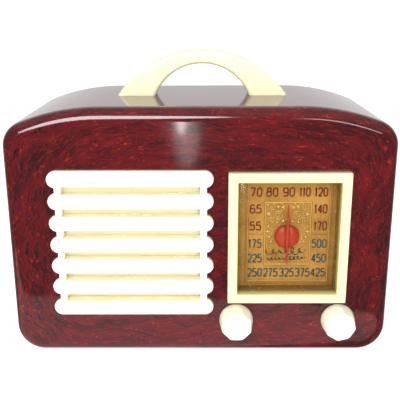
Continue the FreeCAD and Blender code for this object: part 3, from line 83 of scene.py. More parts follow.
class Field:
    """A shader socket that Python's operators work on: each one adds its Math node."""

    def __init__(self, finish, socket):
        self.finish = finish
        self.socket = socket

    def maths(self, operation, *values):
        sockets = dict(enumerate(values))
        return self.finish.node("ShaderNodeMath", {"operation": operation}, sockets)

    def sine(self):
        return self.maths("SINE", self)

    def __add__(self, other):
        return self.maths("ADD", self, other)

    def __sub__(self, other):
        return self.maths("SUBTRACT", self, other)

    def __rsub__(self, other):
        return self.maths("SUBTRACT", other, self)

    def __mul__(self, other):
        return self.maths("MULTIPLY", self, other)

    def __truediv__(self, other):
        return self.maths("DIVIDE", self, other)

    def __pow__(self, other):
        return self.maths("POWER", self, other)

    def __abs__(self):
        return self.maths("ABSOLUTE", self)

    __radd__ = __add__
    __rmul__ = __mul__

    def larger(self, other):
        return self.maths("MAXIMUM", self, other)

    def between(self, low, high):
        """0 below low, 1 above high and a smooth step from one to the other."""
        settings = {"interpolation_type": "SMOOTHSTEP"}
        return self.finish.node("ShaderNodeMapRange", settings, {0: self, 1: low, 2: high})


class Finish:
    """One material: a Principled shader and the nodes that feed it."""

    def __init__(self, name, **constants):
        self.material = bpy.data.materials.new(name)
        self.material.use_nodes = True
        self.tree = self.material.node_tree
        self.shader = self.tree.nodes["Principled BSDF"]
        self.set(**constants)

    def set(self, **values):
        """Set or link the shader's sockets, written with _ for each space."""
        for name, value in values.items():
            self.feed(self.shader.inputs[name.replace("_", " ")], value)

    def feed(self, socket, value):
        if isinstance(value, Field):
            self.tree.links.new(value.socket, socket)
        elif isinstance(value, tuple) and len(value) == 3 and socket.type == "RGBA":
            socket.default_value = (*value, 1)
        else:
            socket.default_value = value

    def node(self, kind, settings=(), values=(), output=0):
        """A node: its settings are set first, then the values or links of its sockets."""
        made = self.tree.nodes.new(kind)
        for name, setting in dict(settings).items():
            if name == "stops":
                self.set_stops(made.color_ramp, setting)
            else:
                setattr(made, name, setting)
        for key, value in dict(values).items():
            self.feed(made.inputs[key], value)
        return Field(self, made.outputs[output])

    def set_stops(self, ramp, stops):
        while len(ramp.elements) < len(stops):
            ramp.elements.new(0.5)
        for element, (place, colour) in zip(ramp.elements, stops):
            element.position = place
            element.color = (*colour, 1)

    def place(self):
        return self.node("ShaderNodeTexCoord", output="Object")

    def attribute(self, name):
        """A number stored on the piece's own points, 0 where a piece has none."""
        return self.node("ShaderNodeAttribute", {"attribute_name": name}, output="Fac")

    def split(self, vector):
        return [self.node("ShaderNodeSeparateXYZ", (), {0: vector}, side) for side in "XYZ"]

    def join(self, x, y, z):
        return self.node("ShaderNodeCombineXYZ", (), {0: x, 1: y, 2: z})

    def stretched(self, x, y, z):
        """The object's coordinates, each times its own frequency per metre."""
        return self.node("ShaderNodeMapping", (), {"Vector": self.place(), "Scale": (x, y, z)})

    def noise(self, vector, detail=4.0, rough=0.55, bend=0.0, w=None):
        values = {"Vector": vector, "Scale": 1.0, "Detail": detail, "Roughness": rough,
                  "Distortion": bend}
        if w is not None:
            values["W"] = w
        settings = {"noise_dimensions": "3D" if w is None else "4D"}
        return self.node("ShaderNodeTexNoise", settings, values)

    def ramp(self, field, *stops):
        return self.node("ShaderNodeValToRGB", {"stops": stops}, {0: field})

    def mix(self, share, first, second):
        """Two colours mixed: the first where share is 0 and the second where it is 1."""
        values = {0: share, 6: first, 7: second}
        return self.node("ShaderNodeMix", {"data_type": "RGBA"}, values, 2)

    def bump(self, field, depth):
        """Normals from a relief of the given depth in metres."""
        values = {"Height": field, "Distance": depth, "Strength": 1.0}
        self.set(Normal=self.node("ShaderNodeBump", (), values))


class Room(Finish):
    """The world's nodes, written the same way as a material's."""

    def __init__(self):
        world = bpy.data.worlds.new("white_room")
        bpy.context.scene.world = world
        world.use_nodes = True
        self.tree = world.node_tree

    def light(self, strength):
        background = self.tree.nodes["Background"]
        background.inputs["Color"].default_value = (1, 1, 1, 1)
        self.feed(background.inputs["Strength"], strength)


def phenolic():
    """Cast oxblood plastic. Its streaks run round the set: long along the front's outline and
    fine across it. The outline coordinate is the fourth-power norm of x and z, and the
    way round it is the direction from the middle, so no seam shows. off_zero keeps both
    powers away from zero."""
    finish = Finish("cast_phenolic", IOR=1.62)
    off_zero = 0.002
    x, y, z = finish.split(finish.place())
    sway = finish.noise(finish.stretched(16, 14, 22), 2.0)
    twist = finish.noise(finish.stretched(70, 70, 80), 3.0, 0.6, 0.4)
    across = x / HALF_WIDE
    up = (z - MID_TALL) / HALF_TALL
    ring = (abs(across) ** 4 + abs(up) ** 4 + off_zero) ** 0.25
    reach = (across * across + up * up + off_zero) ** 0.5
    way_x, way_z = across / reach, up / reach
    bent = ring + sway * 0.24 + twist * 0.070

    def streaks(along, deep, fine, rough, bend, start):
        """Noise with its own frequency round the front, from front to back and across."""
        vector = finish.join(way_x * along + start, y * deep, way_z * along)
        return finish.noise(vector, 6.0, rough, bend, bent * fine)

    clouds = streaks(3.6, 90, 12, 0.66, 0.4, 0.0)
    strands = streaks(11.0, 300, 72, 0.74, 0.6, 3.0)
    flecks = streaks(28.0, 520, 92, 0.66, 1.1, 7.0)
    shadows = streaks(7.5, 260, 56, 0.76, 0.6, 11.0)
    plum = (0.026, 0.0036, 0.0050)
    oxblood = (0.060, 0.0040, 0.0060)
    wine = (0.080, 0.0044, 0.0064)
    bright_red = (0.150, 0.0070, 0.0064)
    near_black = (0.0085, 0.0036, 0.0042)
    orange = (0.44, 0.040, 0.016)
    base = finish.ramp(clouds, (0.38, plum), (0.52, oxblood), (0.64, wine))
    red = finish.mix(strands.between(0.46, 0.66) * 0.65, base, bright_red)
    side = abs(across).between(0.60, 0.86) * (1.0 - across.between(-0.2, 0.4) * 0.6)
    depth = shadows.between(0.50, 0.64) * (1 - clouds.between(0.42, 0.58) * (0.80 - side))
    dark = finish.mix(depth * (0.62 + side * 0.5), red, near_black)
    sparks = flecks.between(0.57, 0.69) * (0.40 + clouds.between(0.40, 0.56) * 0.60)
    finish.set(Base_Color=finish.mix(sparks * 0.85, dark, orange))
    haze = finish.noise(finish.stretched(45, 45, 45), 4.0)
    finish.set(Roughness=0.05 + haze * 0.07)
    return finish.material


def ivory(name, pale, cream, stained, rim_yellow_and_shade=0.0):
    """Urea plastic with faint mottling, a few tea-coloured stains and a soft gloss. It is a
    little translucent. The last argument yellows it round the dial window's opening and sets
    how much painted shade darkens it behind the front of the set, inside that window."""
    finish = Finish(name, IOR=1.5, Subsurface_Weight=0.35, Subsurface_Radius=(1.0, 0.9, 0.55),
                    Subsurface_Scale=4 * MM)
    cloud = finish.noise(finish.stretched(60, 60, 60), 4.0)
    stain = finish.noise(finish.stretched(120, 120, 120), 5.0, 0.6, 0.8)
    tone = finish.ramp(cloud, (0.30, cream), (0.55, pale), (0.80, cream))
    fresh = finish.mix(stain.between(0.66, 0.80) * 0.30, tone, stained)
    x, y, z = finish.split(finish.place())
    # With the last argument, the plastic turns yellower on the window's inner walls and within
    # about 2 mm round its opening.
    side = abs(x - WINDOW.x) - WINDOW_HALF_WIDE
    reach = side.larger(abs(z - WINDOW.z) - WINDOW_HALF_TALL)
    near_opening = 1 - reach.between(0, 1.9 * MM)
    yellow = (0.60, 0.50, 0.16)
    shade_brown = (0.15, 0.085, 0.022)
    edged = finish.mix(near_opening * (rim_yellow_and_shade * 0.55), fresh, yellow)
    # Painted shade: inside the dial window, behind the front of the set, the plastic is darkened
    # to a deep tan.
    behind = y.between(FRONT - 3.5 * MM, FRONT + 3.0 * MM)
    finish.set(Base_Color=finish.mix(behind * rim_yellow_and_shade, edged, shade_brown))
    finish.set(Roughness=0.20 + cloud * 0.12)
    finish.bump(finish.noise(finish.stretched(900, 900, 900), 2.0), 0.01 * MM)
    return finish.material


def speaker_cloth():
    """Plain weave of cream cotton and pale gold rayon, with a slub here and there."""
    finish = Finish("speaker_cloth", Sheen_Weight=0.2)
    x, _, z = finish.split(finish.place())
    pitch = 0.9 * MM
    over = (x * (math.tau / pitch)).sine()
    under = (z * (math.tau / pitch)).sine()
    weave = over * under * 0.5 + 0.5
    slub = finish.noise(finish.stretched(1800, 1800, 160), 3.0)
    rayon = (0.76, 0.65, 0.36)
    cotton = (0.84, 0.78, 0.52)
    slub_brown = (0.62, 0.44, 0.17)
    thread = finish.mix(weave, rayon, cotton)
    finish.set(Base_Color=finish.mix(slub.between(0.60, 0.75) * 0.4, thread, slub_brown))
    finish.set(Roughness=0.7 + weave * 0.2)
    finish.bump(weave + slub * 0.4, 0.15 * MM)
    return finish.material


def gilt():
    """Gold lacquered tin: hammered grain, painted shade on the relief's slopes and towards the
    plate's edges, and painted highlights on its raised relief.
    """
    finish = Finish("gilt_plate", Metallic=0.35, IOR=1.5)
    x, _, z = finish.split(finish.place())
    cloud = finish.noise(finish.stretched(55, 55, 55), 5.0, 0.6, 0.4)
    grain = finish.noise(finish.stretched(750, 750, 750), 4.0, 0.65)
    tone = finish.ramp(cloud, (0.30, (0.33, 0.175, 0.050)), (0.52, (0.50, 0.270, 0.076)),
                       (0.75, (0.60, 0.340, 0.105)))
    edge = abs(x - DIAL_X) / (PLATE_HIGH.x - DIAL_X)
    rim = abs(z - DIAL_Z) / (PLATE_HIGH.z - DIAL_Z)
    edge_shade_colour = (0.17, 0.092, 0.034)
    speck = (0.72, 0.46, 0.16)
    shade = (0.085, 0.045, 0.018)
    bright = (0.80, 0.54, 0.17)
    # Painted shade: the plate darkens towards its edges, next to the window's walls.
    outer = edge.between(0.72, 1.0) * 0.45 + rim.between(0.80, 1.0) * 0.35
    edge_shaded = finish.mix(outer, tone, edge_shade_colour)
    speckled = finish.mix(grain.between(0.50, 0.70) * 0.40, edge_shaded, speck)
    # Painted shade on the relief's slopes, then a painted highlight on its raised parts.
    groove = finish.mix(finish.attribute("slope") * 0.80, speckled, shade)
    raised = finish.attribute("height").between(0.45, 0.95) * 0.8
    finish.set(Base_Color=finish.mix(raised, groove, bright))
    finish.set(Roughness=0.30 + grain * 0.20)
    finish.bump(grain, 0.05 * MM)
    return finish.material


def printed_ink(name, colour):
    """Thin dial ink that lets the gilt grain show through in specks where wear has thinned it."""
    finish = Finish(name, IOR=1.45)
    wear = finish.noise(finish.stretched(900, 900, 900), 4.0, 0.7)
    ground = (0.40, 0.23, 0.08)
    pale = tuple(part * 0.6 + 0.4 * gold for part, gold in zip(colour, ground))
    finish.set(Base_Color=finish.mix(wear.between(0.54, 0.70) * 0.6, colour, pale))
    finish.set(Roughness=0.35 + wear * 0.2)
    return finish.material


def simple(name, colour, rough, metal=0.0, grain=600.0, vary=0.25, depth=0.02):
    """Plain finish with mottled colour, uneven gloss and a fine relief. grain is the relief's
    frequency per metre and depth its height in mm. vary is the mottling's share of the
    colour."""
    finish = Finish(name, Metallic=metal)
    cloud = finish.noise(finish.stretched(grain / 6, grain / 6, grain / 6), 4.0)
    dark = tuple(part * (1 - vary) for part in colour)
    light = tuple(min(1.0, part * (1 + vary)) for part in colour)
    finish.set(Base_Color=finish.ramp(cloud, (0.3, dark), (0.55, colour), (0.8, light)))
    finish.set(Roughness=rough * 0.8 + cloud * (rough * 0.4))
    finish.bump(finish.noise(finish.stretched(grain, grain, grain), 3.0), depth * MM)
    return finish.material


def clear(name, tint, shine=0.9):
    """Thin clear skin: light passes straight through, tinted, and shine is the share of its
    Fresnel reflection that is kept."""
    finish = Finish(name)
    through = finish.node("ShaderNodeBsdfTransparent", (), {0: tint})
    gloss = finish.node("ShaderNodeBsdfGlossy", (), {"Color": (1, 1, 1), "Roughness": 0.02})
    share = finish.node("ShaderNodeFresnel", (), {"IOR": 1.45}) * shine
    mixed = finish.node("ShaderNodeMixShader", (), {0: share, 1: through, 2: gloss})
    output = finish.tree.nodes["Material Output"]
    finish.tree.links.new(mixed.socket, output.inputs["Surface"])
    return finish.material


# These nodes have the slot ivory, and have yellowed more than the grille and the knobs. The
# bezel's finish also has painted shade inside the dial window.
AGED = {"dial_bezel": "ivory_window", "handle": "ivory_aged"}


def dress_nodes(finishes):
    """Give each CAD node the finish made for its material slot."""
    slots = {part["node"]: part["material_slot"] for part in frame["record"]["subparts"]}
    for name, node in frame["nodes"].items():
        material = finishes[AGED.get(name, slots[name])]
        node.data.materials.clear()
        node.data.materials.append(material)


def make_finishes():
    return {
        "phenolic_red": phenolic(),
        "ivory": ivory("ivory_pale", (0.86, 0.83, 0.66), (0.84, 0.79, 0.58), (0.66, 0.50, 0.26)),
        "ivory_aged": ivory("ivory_aged", (0.80, 0.77, 0.52), (0.78, 0.73, 0.47),
                            (0.60, 0.42, 0.19)),
        "ivory_window": ivory("ivory_window", (0.66, 0.645, 0.39), (0.64, 0.61, 0.35),
                              (0.45, 0.32, 0.12), rim_yellow_and_shade=0.95),
        "cloth": speaker_cloth(),
        "fibreboard": simple("pressed_board", (0.17, 0.095, 0.05), 0.7, grain=2400, vary=0.16,
                             depth=0.12),
        "lens_clear": clear("clear_window", (0.96, 0.94, 0.86), shine=0.12),
        "dial_gold": gilt(),
        "red_ink": printed_ink("red_ink", (0.155, 0.024, 0.020)),
        "blue_ink": printed_ink("blue_ink", (0.045, 0.085, 0.105)),
        "black_ink": printed_ink("black_ink", (0.045, 0.055, 0.050)),
        "pointer_red": simple("orange_red", (0.35, 0.036, 0.018), 0.40, vary=0.12),
        "steel": simple("plated_steel", (0.50, 0.50, 0.48), 0.34, metal=1.0),
        "brass": simple("turned_brass", (0.60, 0.42, 0.16), 0.3, metal=1.0),
        "aluminium": simple("stamped_aluminium", (0.68, 0.68, 0.68), 0.36, metal=1.0),
        "black_phenolic": simple("black_phenolic", (0.02, 0.018, 0.017), 0.35),
        "brown_phenolic": simple("brown_phenolic", (0.09, 0.04, 0.02), 0.4),
        "rubber": simple("black_rubber", (0.025, 0.023, 0.022), 0.7),
        "felt": simple("brown_felt", (0.06, 0.045, 0.03), 0.95, grain=2500, depth=0.3),
        "tube_glass": clear("tube_glass", (0.93, 0.95, 0.94)),
        "lamp_glass": clear("lamp_glass", (0.97, 0.93, 0.82)),
        "anode": simple("blackened_nickel", (0.03, 0.03, 0.032), 0.55, metal=0.6),
        "cone_paper": simple("cone_paper", (0.075, 0.062, 0.05), 0.9, grain=1800, depth=0.15),
        "gasket": simple("chipboard", (0.18, 0.12, 0.06), 0.85),
        "coil_former": simple("varnished_paper", (0.30, 0.15, 0.05), 0.45),
        "iron": simple("blackened_iron", (0.07, 0.07, 0.075), 0.5, metal=0.8),
        "drum_string": simple("dial_cord", (0.34, 0.28, 0.17), 0.85, grain=3000),
        "copper": simple("enamelled_copper", (0.45, 0.17, 0.05), 0.35, metal=0.9),
        "wax_paper": simple("waxed_paper", (0.48, 0.33, 0.11), 0.5),
    }


# ---------------------------------------------------------------- surfaces

def grid_quads(rows, columns, loop=False):
    """Quads between neighbours on a grid of points laid out row by row. loop joins the last
    column to the first."""
    wide = columns if loop else columns - 1
    row, column = np.meshgrid(np.arange(rows - 1), np.arange(wide), indexing="ij")
    here = row * columns + column
    beside = row * columns + (column + 1) % columns
    return np.stack([here, beside, beside + columns, here + columns], axis=-1).reshape(-1, 4)


def surface(name, points, quads, crease, weld=True):
    """Mesh object from arrays of points and quads. With weld, equal points are joined, so poles
    and seams close, and the normals face outwards. Edges sharper than crease degrees stay
    crisp."""
    mesh = bpy.data.meshes.new(name)
    mesh.from_pydata(points.reshape(-1, 3).tolist(), [], quads.tolist())
    if weld:
        shape = bmesh.new()
        shape.from_mesh(mesh)
        bmesh.ops.remove_doubles(shape, verts=shape.verts, dist=0.0005 * MM)
        bmesh.ops.recalc_face_normals(shape, faces=shape.faces)
        shape.to_mesh(mesh)
        shape.free()
    mesh.shade_smooth()
    mesh.set_sharp_from_angle(angle=math.radians(crease))
    piece = bpy.data.objects.new(name, mesh)
    bpy.context.scene.collection.objects.link(piece)
    return piece


def store(piece, name, values):
    """Keep one number for each of the piece's points under a name that its finish reads."""
    attribute = piece.data.attributes.new(name, "FLOAT", "POINT")
    attribute.data.foreach_set("value", np.ravel(values).astype(np.float32))


def fit_out(piece, body, slot, material, *stands_for):
    """Give a piece its material, hide the CAD nodes it stands for and hang it on the body it rides
    on. The slot is not used.
    """
    piece.data.materials.append(material)
    if stands_for:
        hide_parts(*stands_for)
    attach(piece, body)


# ---------------------------------------------------------------- dial

ORNAMENT_RISE = 0.36


def bead(distance, width):
    """Rounded line: 1 on the line, and a bell of the given width across it."""
    return np.exp(-((distance / width) ** 2))


def frame_distance(u, v, half_wide, half_tall):
    """Distance to a rectangle's outline, measured square to its nearest side."""
    return np.abs(np.maximum(np.abs(u) - half_wide, np.abs(v) - half_tall))


def curl(u, v, x, z, size, turn, pitch):
    """Volute about (x, z): the line where radius / pitch less angle / full turn is a whole
    number, fading near the given size and cut off past it. turn is 1 or -1 and sets the
    hand."""
    radius = np.hypot(u - x, v - z)
    angle = np.arctan2(v - z, turn * (u - x))
    phase = radius / pitch - angle / math.tau
    line_width = 0.28
    fade = 0.6
    least = 0.4
    spiral = bead((phase - np.round(phase)) * pitch, line_width)
    return spiral * (radius < size) * np.clip((size - radius) / fade + least, 0, 1)


def leaves(u, v, x, z, size, count):
    """Flower about (x, z): lobes where the radius is less than size times |cos(count a / 2)|,
    domed in the middle, where a is the angle."""
    radius = np.hypot(u - x, v - z)
    angle = np.arctan2(v - z, u - x)
    lobe = size * (0.35 + 0.65 * np.abs(np.cos(count * angle / 2)))
    return np.clip(1 - (radius / lobe) ** 2, 0, 1) ** 0.5


# Place across and up from the panel's middle and size, in mm, then the hand and the pitch.
VOLUTES = [(6.0, 12.6, 3.8, 1, 1.7), (10.2, 8.8, 2.2, -1, 1.3), (9.6, 16.6, 1.9, 1, 1.2)]

# Place across and up from the panel's middle and size, in mm, and the number of lobes.
LEAVES = [
    (12.0, 13.0, 1.6, 3), (3.0, 17.2, 1.5, 3), (6.2, 17.6, 1.3, 4), (2.8, 8.4, 1.2, 3),
    (6.6, 7.6, 1.2, 4), (12.2, 5.0, 1.1, 3), (12.2, 1.6, 1.6, 4), (11.4, -2.0, 1.3, 3),
    (10.2, -5.0, 1.1, 4), (12.6, 18.6, 1.0, 3), (4.0, 19.6, 0.9, 4), (9.0, 19.4, 0.8, 3),
]


def dial_relief(u, v):
    """Height in mm of the embossed plate at u, v mm from its middle: a double rounded border, a
    framed centre panel, rules left and right of it, mirrored volutes with leaves, small
    sprigs round the hub, and a hammered ground that is the positive part of a product of two
    bent sines. Where ornaments meet the highest counts, and the other heights add. The panel's
    left and right are mirror images."""
    border_right = 1.4
    panel_right = 1.0
    panel_down = 1.0
    height = 0.30 * bead(frame_distance(u - border_right, v, 25.2, 32.6), 0.35)
    height += 0.18 * bead(frame_distance(u - border_right, v, 26.4, 33.8), 0.30)
    u, v = u - panel_right, v + panel_down
    side = np.abs(u)
    height += 0.34 * bead(frame_distance(u, v, 14.1, 20.2), 0.40)
    outside_panel = (side > 14.5) & (side < 25.0)
    height += 0.20 * bead(v, 0.35) * outside_panel
    ornament = np.zeros_like(height)
    for x, z, size, turn, pitch in VOLUTES:
        ornament = np.maximum(ornament, curl(side, v, x, z, size, turn, pitch))
    for x, z, size, count in LEAVES:
        ornament = np.maximum(ornament, leaves(side, v, x, z, size, count))
    dents_across = np.sin(2.6 * side + 1.4 * np.sin(0.9 * v))
    dents_up = np.sin(2.9 * v + 1.2 * np.sin(1.1 * side))
    panel = (side < 13.4) & (np.abs(v) < 19.5)
    dent_rise = 0.13
    height += dent_rise * np.clip(dents_across * dents_up, 0, 1) * panel * (1 - ornament)
    height += ORNAMENT_RISE * ornament
    return height


def dial_face():
    """Embossed skin on the front of the dial plate: the relief over a fine grid. Points inside
    the axis hole are pushed out to its edge, and the outer border is tucked onto the plate."""
    step = 0.25 * MM
    columns = int((PLATE_HIGH.x - PLATE_LOW.x) / step)
    rows = int((PLATE_HIGH.z - PLATE_LOW.z) / step)
    inset = 0.3 * MM
    x = np.linspace(PLATE_LOW.x + inset, PLATE_HIGH.x - inset, columns)
    z = np.linspace(PLATE_LOW.z + inset, PLATE_HIGH.z - inset, rows)
    x, z = np.meshgrid(x, z)
    hole = 4.4 * MM
    skin = 0.02
    slope_gain = 6
    reach = np.hypot(x - AXIS.x, z - AXIS.z)
    inside = reach < hole
    push = np.where(inside, hole / np.maximum(reach, 0.01 * MM), 1.0)
    x = AXIS.x + (x - AXIS.x) * push
    z = AXIS.z + (z - AXIS.z) * push
    rise = skin + dial_relief((x - DIAL_X) / MM, (z - DIAL_Z) / MM)
    rise[inside] = 0.0
    rise[[0, -1], :] = 0.0
    rise[:, [0, -1]] = 0.0
    y = PLATE_LOW.y - rise * MM
    quads = grid_quads(rows, columns)
    kept = ~inside.ravel()[quads].all(axis=1)
    slope = np.hypot(*np.gradient(rise)) * slope_gain
    face = surface("dial_face", np.stack([x, y, z], axis=-1), quads[kept], 60, weld=False)
    # The gilt finish reads height for its painted highlights and slope for its painted shade.
    store(face, "height", rise / ORNAMENT_RISE)
    store(face, "slope", np.clip(slope, 0, 1))
    return face


def ribbon(u, v, width, depth=0.07):
    """Points and quads of a flat line of ink on the plate, along u, v mm from the dial axis:
    four corners at each point, half the width to each side, across the line's direction."""
    lift = 0.01
    along = np.arctan2(np.gradient(v), np.gradient(u))
    rings = []
    for side, rise in ((1, 0.0), (1, depth), (-1, depth), (-1, 0.0)):
        x = AXIS.x + (u - side * np.sin(along) * width / 2) * MM
        z = AXIS.z + (v + side * np.cos(along) * width / 2) * MM
        y = np.full_like(x, PLATE_LOW.y - (lift + rise) * MM)
        rings.append(np.stack([x, y, z], axis=-1))
    first = np.arange(4)
    last = first[::-1] + 4 * (len(u) - 1)
    quads = np.concatenate([grid_quads(len(u), 4, loop=True), [first, last]])
    return np.stack(rings, axis=1).reshape(-1, 3), quads


def gather(name, ribbons):
    """One piece from several ribbons."""
    corners, faces, count = [], [], 0
    for points, quads in ribbons:
        corners.append(points)
        faces.append(quads + count)
        count += len(points)
    return surface(name, np.concatenate(corners), np.concatenate(faces), 40)


def line(*places):
    """Straight strokes through places in a unit box, nine points to a stroke."""
    places = np.array(places, float)
    share = np.linspace(0, len(places) - 1, 8 * (len(places) - 1) + 1)
    knots = np.arange(len(places))
    return np.interp(share, knots, places[:, 0]), np.interp(share, knots, places[:, 1])


def bow(x, z, wide, tall, start, end):
    """Arc of a rounded box about (x, z) from one angle to another in degrees: each coordinate
    is its radius times the cosine or sine, with that factor's size to the power 0.6."""
    angle = np.radians(np.linspace(start, end, 41))

    def rounded(factor):
        return np.sign(factor) * np.abs(factor) ** 0.6

    return x + wide * rounded(np.cos(angle)), z + tall * rounded(np.sin(angle))


def joined(*strokes):
    """One stroke from several that follow each other."""
    return tuple(np.concatenate(parts) for parts in zip(*strokes))


# Strokes of each digit in a unit box. A nine is a six turned upside down.
SIX = [joined(bow(0.5, 0.7, 0.5, 0.3, 30, 180), line((0.0, 0.6), (0.0, 0.4))),
       bow(0.5, 0.29, 0.5, 0.29, 0, 360)]
DIGITS = {
    "0": [bow(0.5, 0.5, 0.5, 0.5, 0, 360)],
    "1": [line((0.15, 0.80), (0.5, 1.0)), line((0.5, 1.04), (0.5, -0.04))],
    "2": [joined(bow(0.5, 0.72, 0.5, 0.28, 170, -35), line((0.05, 0.0), (0.0, 0.0))),
          line((0.0, 0.0), (1.0, 0.0))],
    "3": [bow(0.45, 0.77, 0.5, 0.23, 160, -90), bow(0.45, 0.27, 0.55, 0.27, 90, -160)],
    "4": [line((0.78, -0.04), (0.78, 1.0)), line((0.78, 1.0), (0.0, 0.30)),
          line((-0.05, 0.28), (1.1, 0.28))],
    "5": [line((0.95, 1.0), (0.05, 1.0)), line((0.08, 1.0), (0.05, 0.52)),
          bow(0.45, 0.30, 0.53, 0.30, 140, -160)],
    "6": SIX,
    "7": [line((-0.02, 1.0), (1.02, 1.0)), line((0.98, 1.0), (0.35, -0.04))],
    "8": [bow(0.5, 0.77, 0.43, 0.23, 0, 360), bow(0.5, 0.27, 0.5, 0.27, 0, 360)],
    "9": [(1 - u, 1 - v) for u, v in SIX],
}


def number(text, across, height):
    """Ribbons of a printed number about a place over the dial axis, in mm. A one is a little
    under half as wide as the rest, and three digits are squeezed closer than two."""
    tall = 5.1
    stroke = 1.0
    narrow = 0.45
    full = 2.15 if len(text) == 3 else 2.6
    gap = 1.05 if len(text) == 3 else 1.3
    widths = [full * (narrow if digit == "1" else 1.0) for digit in text]
    start = across - (sum(widths) + gap * (len(text) - 1)) / 2
    ribbons = []
    for digit, wide in zip(text, widths):
        for u, v in DIGITS[digit]:
            ribbons.append(ribbon(start + u * wide, height + (v - 0.5) * tall, stroke))
        start += wide + gap
    return ribbons


def dial_figures(name, rows):
    """One piece of all the printed numbers in rows of (height, its (text, place) pairs)."""
    ribbons = [part for height, texts in rows for text, across in texts
               for part in number(text, across, height)]
    return gather(name, ribbons)


# Rows of numbers: the row's height, then each number and its place across, in mm from the
# dial axis.
SHORT_WAVES = [
    (28.4, [("70", -19.4), ("80", -9.7), ("90", 0.5), ("110", 10.3), ("120", 20.3)]),
    (17.6, [("65", -19.6), ("140", 20.4)]),
    (6.6, [("55", -19.6), ("170", 20.6)]),
]
LONG_WAVES = [
    (-5.0, [("175", -19.6), ("500", 20.4)]),
    (-14.8, [("225", -19.8), ("450", 20.4)]),
    (-24.4, [("250", -19.6), ("275", -9.6), ("325", 0.6), ("375", 10.6), ("425", 20.3)]),
]


# Height, number of loops, half height of a loop, start and length of each written line, in mm.
WRITTEN_LINES = [(-10.6, 6, 2.6, -12.5, 24.5), (-15.2, 10, 1.2, -11.5, 23.5)]


def flourish():
    """Two written lines of loops under the hub. A line's middle runs forward by t less a share
    of sin t and up by cos t, and both swell and fade along it like a pen's stroke. Its width
    follows the pen's direction, and it is a thin ribbon on the plate."""
    ribbons = []
    points_a_loop = 26
    climb = 0.8
    pen_thin = 0.50
    pen_spread = 0.62
    pen_angle = 0.6
    for height, loops, tall, start, long in WRITTEN_LINES:
        share = np.linspace(0, 1, loops * points_a_loop)
        swell = (0.45 + 0.55 * np.sin(math.pi * share) ** 0.5) * (0.7 + 0.3 * np.cos(9 * share))
        angle = share * loops * math.tau
        u = start + long * share - 0.42 * long / loops * swell * np.sin(angle)
        v = height + tall * swell * np.cos(angle) + climb * share
        pen = np.arctan2(np.gradient(v), np.gradient(u))
        ribbons.append(ribbon(u, v, pen_thin + pen_spread * np.abs(np.sin(pen - pen_angle))))
    return gather("dial_flourish", ribbons)


def needle():
    """Pointer: a ridge whose half width falls from the hub to both tips as one less the
    distance to the power 2.4, all to the power 0.6, with a rounded section and closed points.
    It reaches further over the axis than under it."""
    rings = 61
    sides = 16
    low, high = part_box("dial_pointer")
    centre = (low + high) / 2
    share = np.sin(np.linspace(-math.pi / 2, math.pi / 2, rings))[:, None]
    angle = np.linspace(0, math.tau, sides, endpoint=False)[None, :]
    half = (high.x - low.x) / 2 * (1 - np.abs(share) ** 2.4) ** 0.6
    deep = (high.y - low.y) / 2 * (1 - np.abs(share) ** 8)
    x = centre.x + half * np.cos(angle)
    y = centre.y + deep * np.sin(angle) * np.abs(np.sin(angle)) ** 0.3
    z = AXIS.z + np.where(share > 0, high.z - AXIS.z, AXIS.z - low.z) * share + 0 * angle
    quads = grid_quads(rings, sides, loop=True)
    return surface("needle", np.stack([x, y, z], axis=-1), quads, 50)


def hub_dome():
    """Pointer's button: a quarter-ellipse dome turned about the dial axis, with a flat back. A
    bell-shaped groove runs up and down its middle, and the rim has a small notch at its top."""
    arcs = 28
    sides = 96
    back_rim = 0.94
    notch_deep = 0.10
    notch_wide = 0.22
    groove_deep = 0.35
    groove_wide = 1.6 * MM
    low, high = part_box("pointer_hub")
    rim = (high.x - low.x) / 2
    rise = high.y - low.y
    lean = np.linspace(0, math.pi / 2, arcs)
    out = np.concatenate([np.sin(lean), [back_rim, 0.0]])[:, None]
    back = np.concatenate([1 - np.cos(lean), [1.0, 1.0]])[:, None]
    angle = np.linspace(0, math.tau, sides, endpoint=False)[None, :]
    across = rim * out * np.cos(angle)
    notch = notch_deep * bead(np.cos(angle), notch_wide) * (np.sin(angle) > 0)
    x = AXIS.x + across
    z = AXIS.z + rim * out * (1 - notch) * np.sin(angle)
    groove = groove_deep * rise * bead(across, groove_wide) * np.sin(math.pi * out) ** 0.7
    y = low.y + rise * back + groove * (back < 0.999)
    quads = grid_quads(len(out), sides, loop=True)
    return surface("hub_dome", np.stack([x, y, z], axis=-1), quads, 50)


def make_dial(finishes):
    fit_out(dial_face(), "radio", "dial_gold", finishes["dial_gold"])
    short_waves = dial_figures("short_wave_figures", SHORT_WAVES)
    fit_out(short_waves, "radio", "dial_gold", finishes["red_ink"])
    long_waves = dial_figures("long_wave_figures", LONG_WAVES)
    fit_out(long_waves, "radio", "dial_gold", finishes["blue_ink"])
    fit_out(flourish(), "radio", "dial_gold", finishes["black_ink"])
    fit_out(needle(), "dial", "pointer_red", finishes["pointer_red"], "dial_pointer")
    fit_out(hub_dome(), "dial", "pointer_red", finishes["pointer_red"], "pointer_hub")


# ---------------------------------------------------------------- speaker cloth

def speaker_cloth_sheet(finishes):
    """Cloth stretched on the board behind the grille: a flat grid with slight ripples, which
    are products of sines of the place across and up."""
    columns = 81
    rows = 73
    swing = 0.05 * MM
    forward = 0.1 * MM
    low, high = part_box("grille_cloth")
    x, z = np.meshgrid(np.linspace(low.x, high.x, columns), np.linspace(low.z, high.z, rows))
    ripple = swing * np.sin(x * 160) * np.sin(z * 130 + x * 40)
    y = (low.y + high.y) / 2 - forward + ripple
    points = np.stack([x, y, z], axis=-1)
    sheet = surface("speaker_cloth", points, grid_quads(rows, columns), 60)
    thick = sheet.modifiers.new("thickness", "SOLIDIFY")
    thick.thickness = 0.3 * MM
    thick.offset = 0
    fit_out(sheet, "radio", "cloth", finishes["cloth"], "grille_cloth")


# ---------------------------------------------------------------- stage

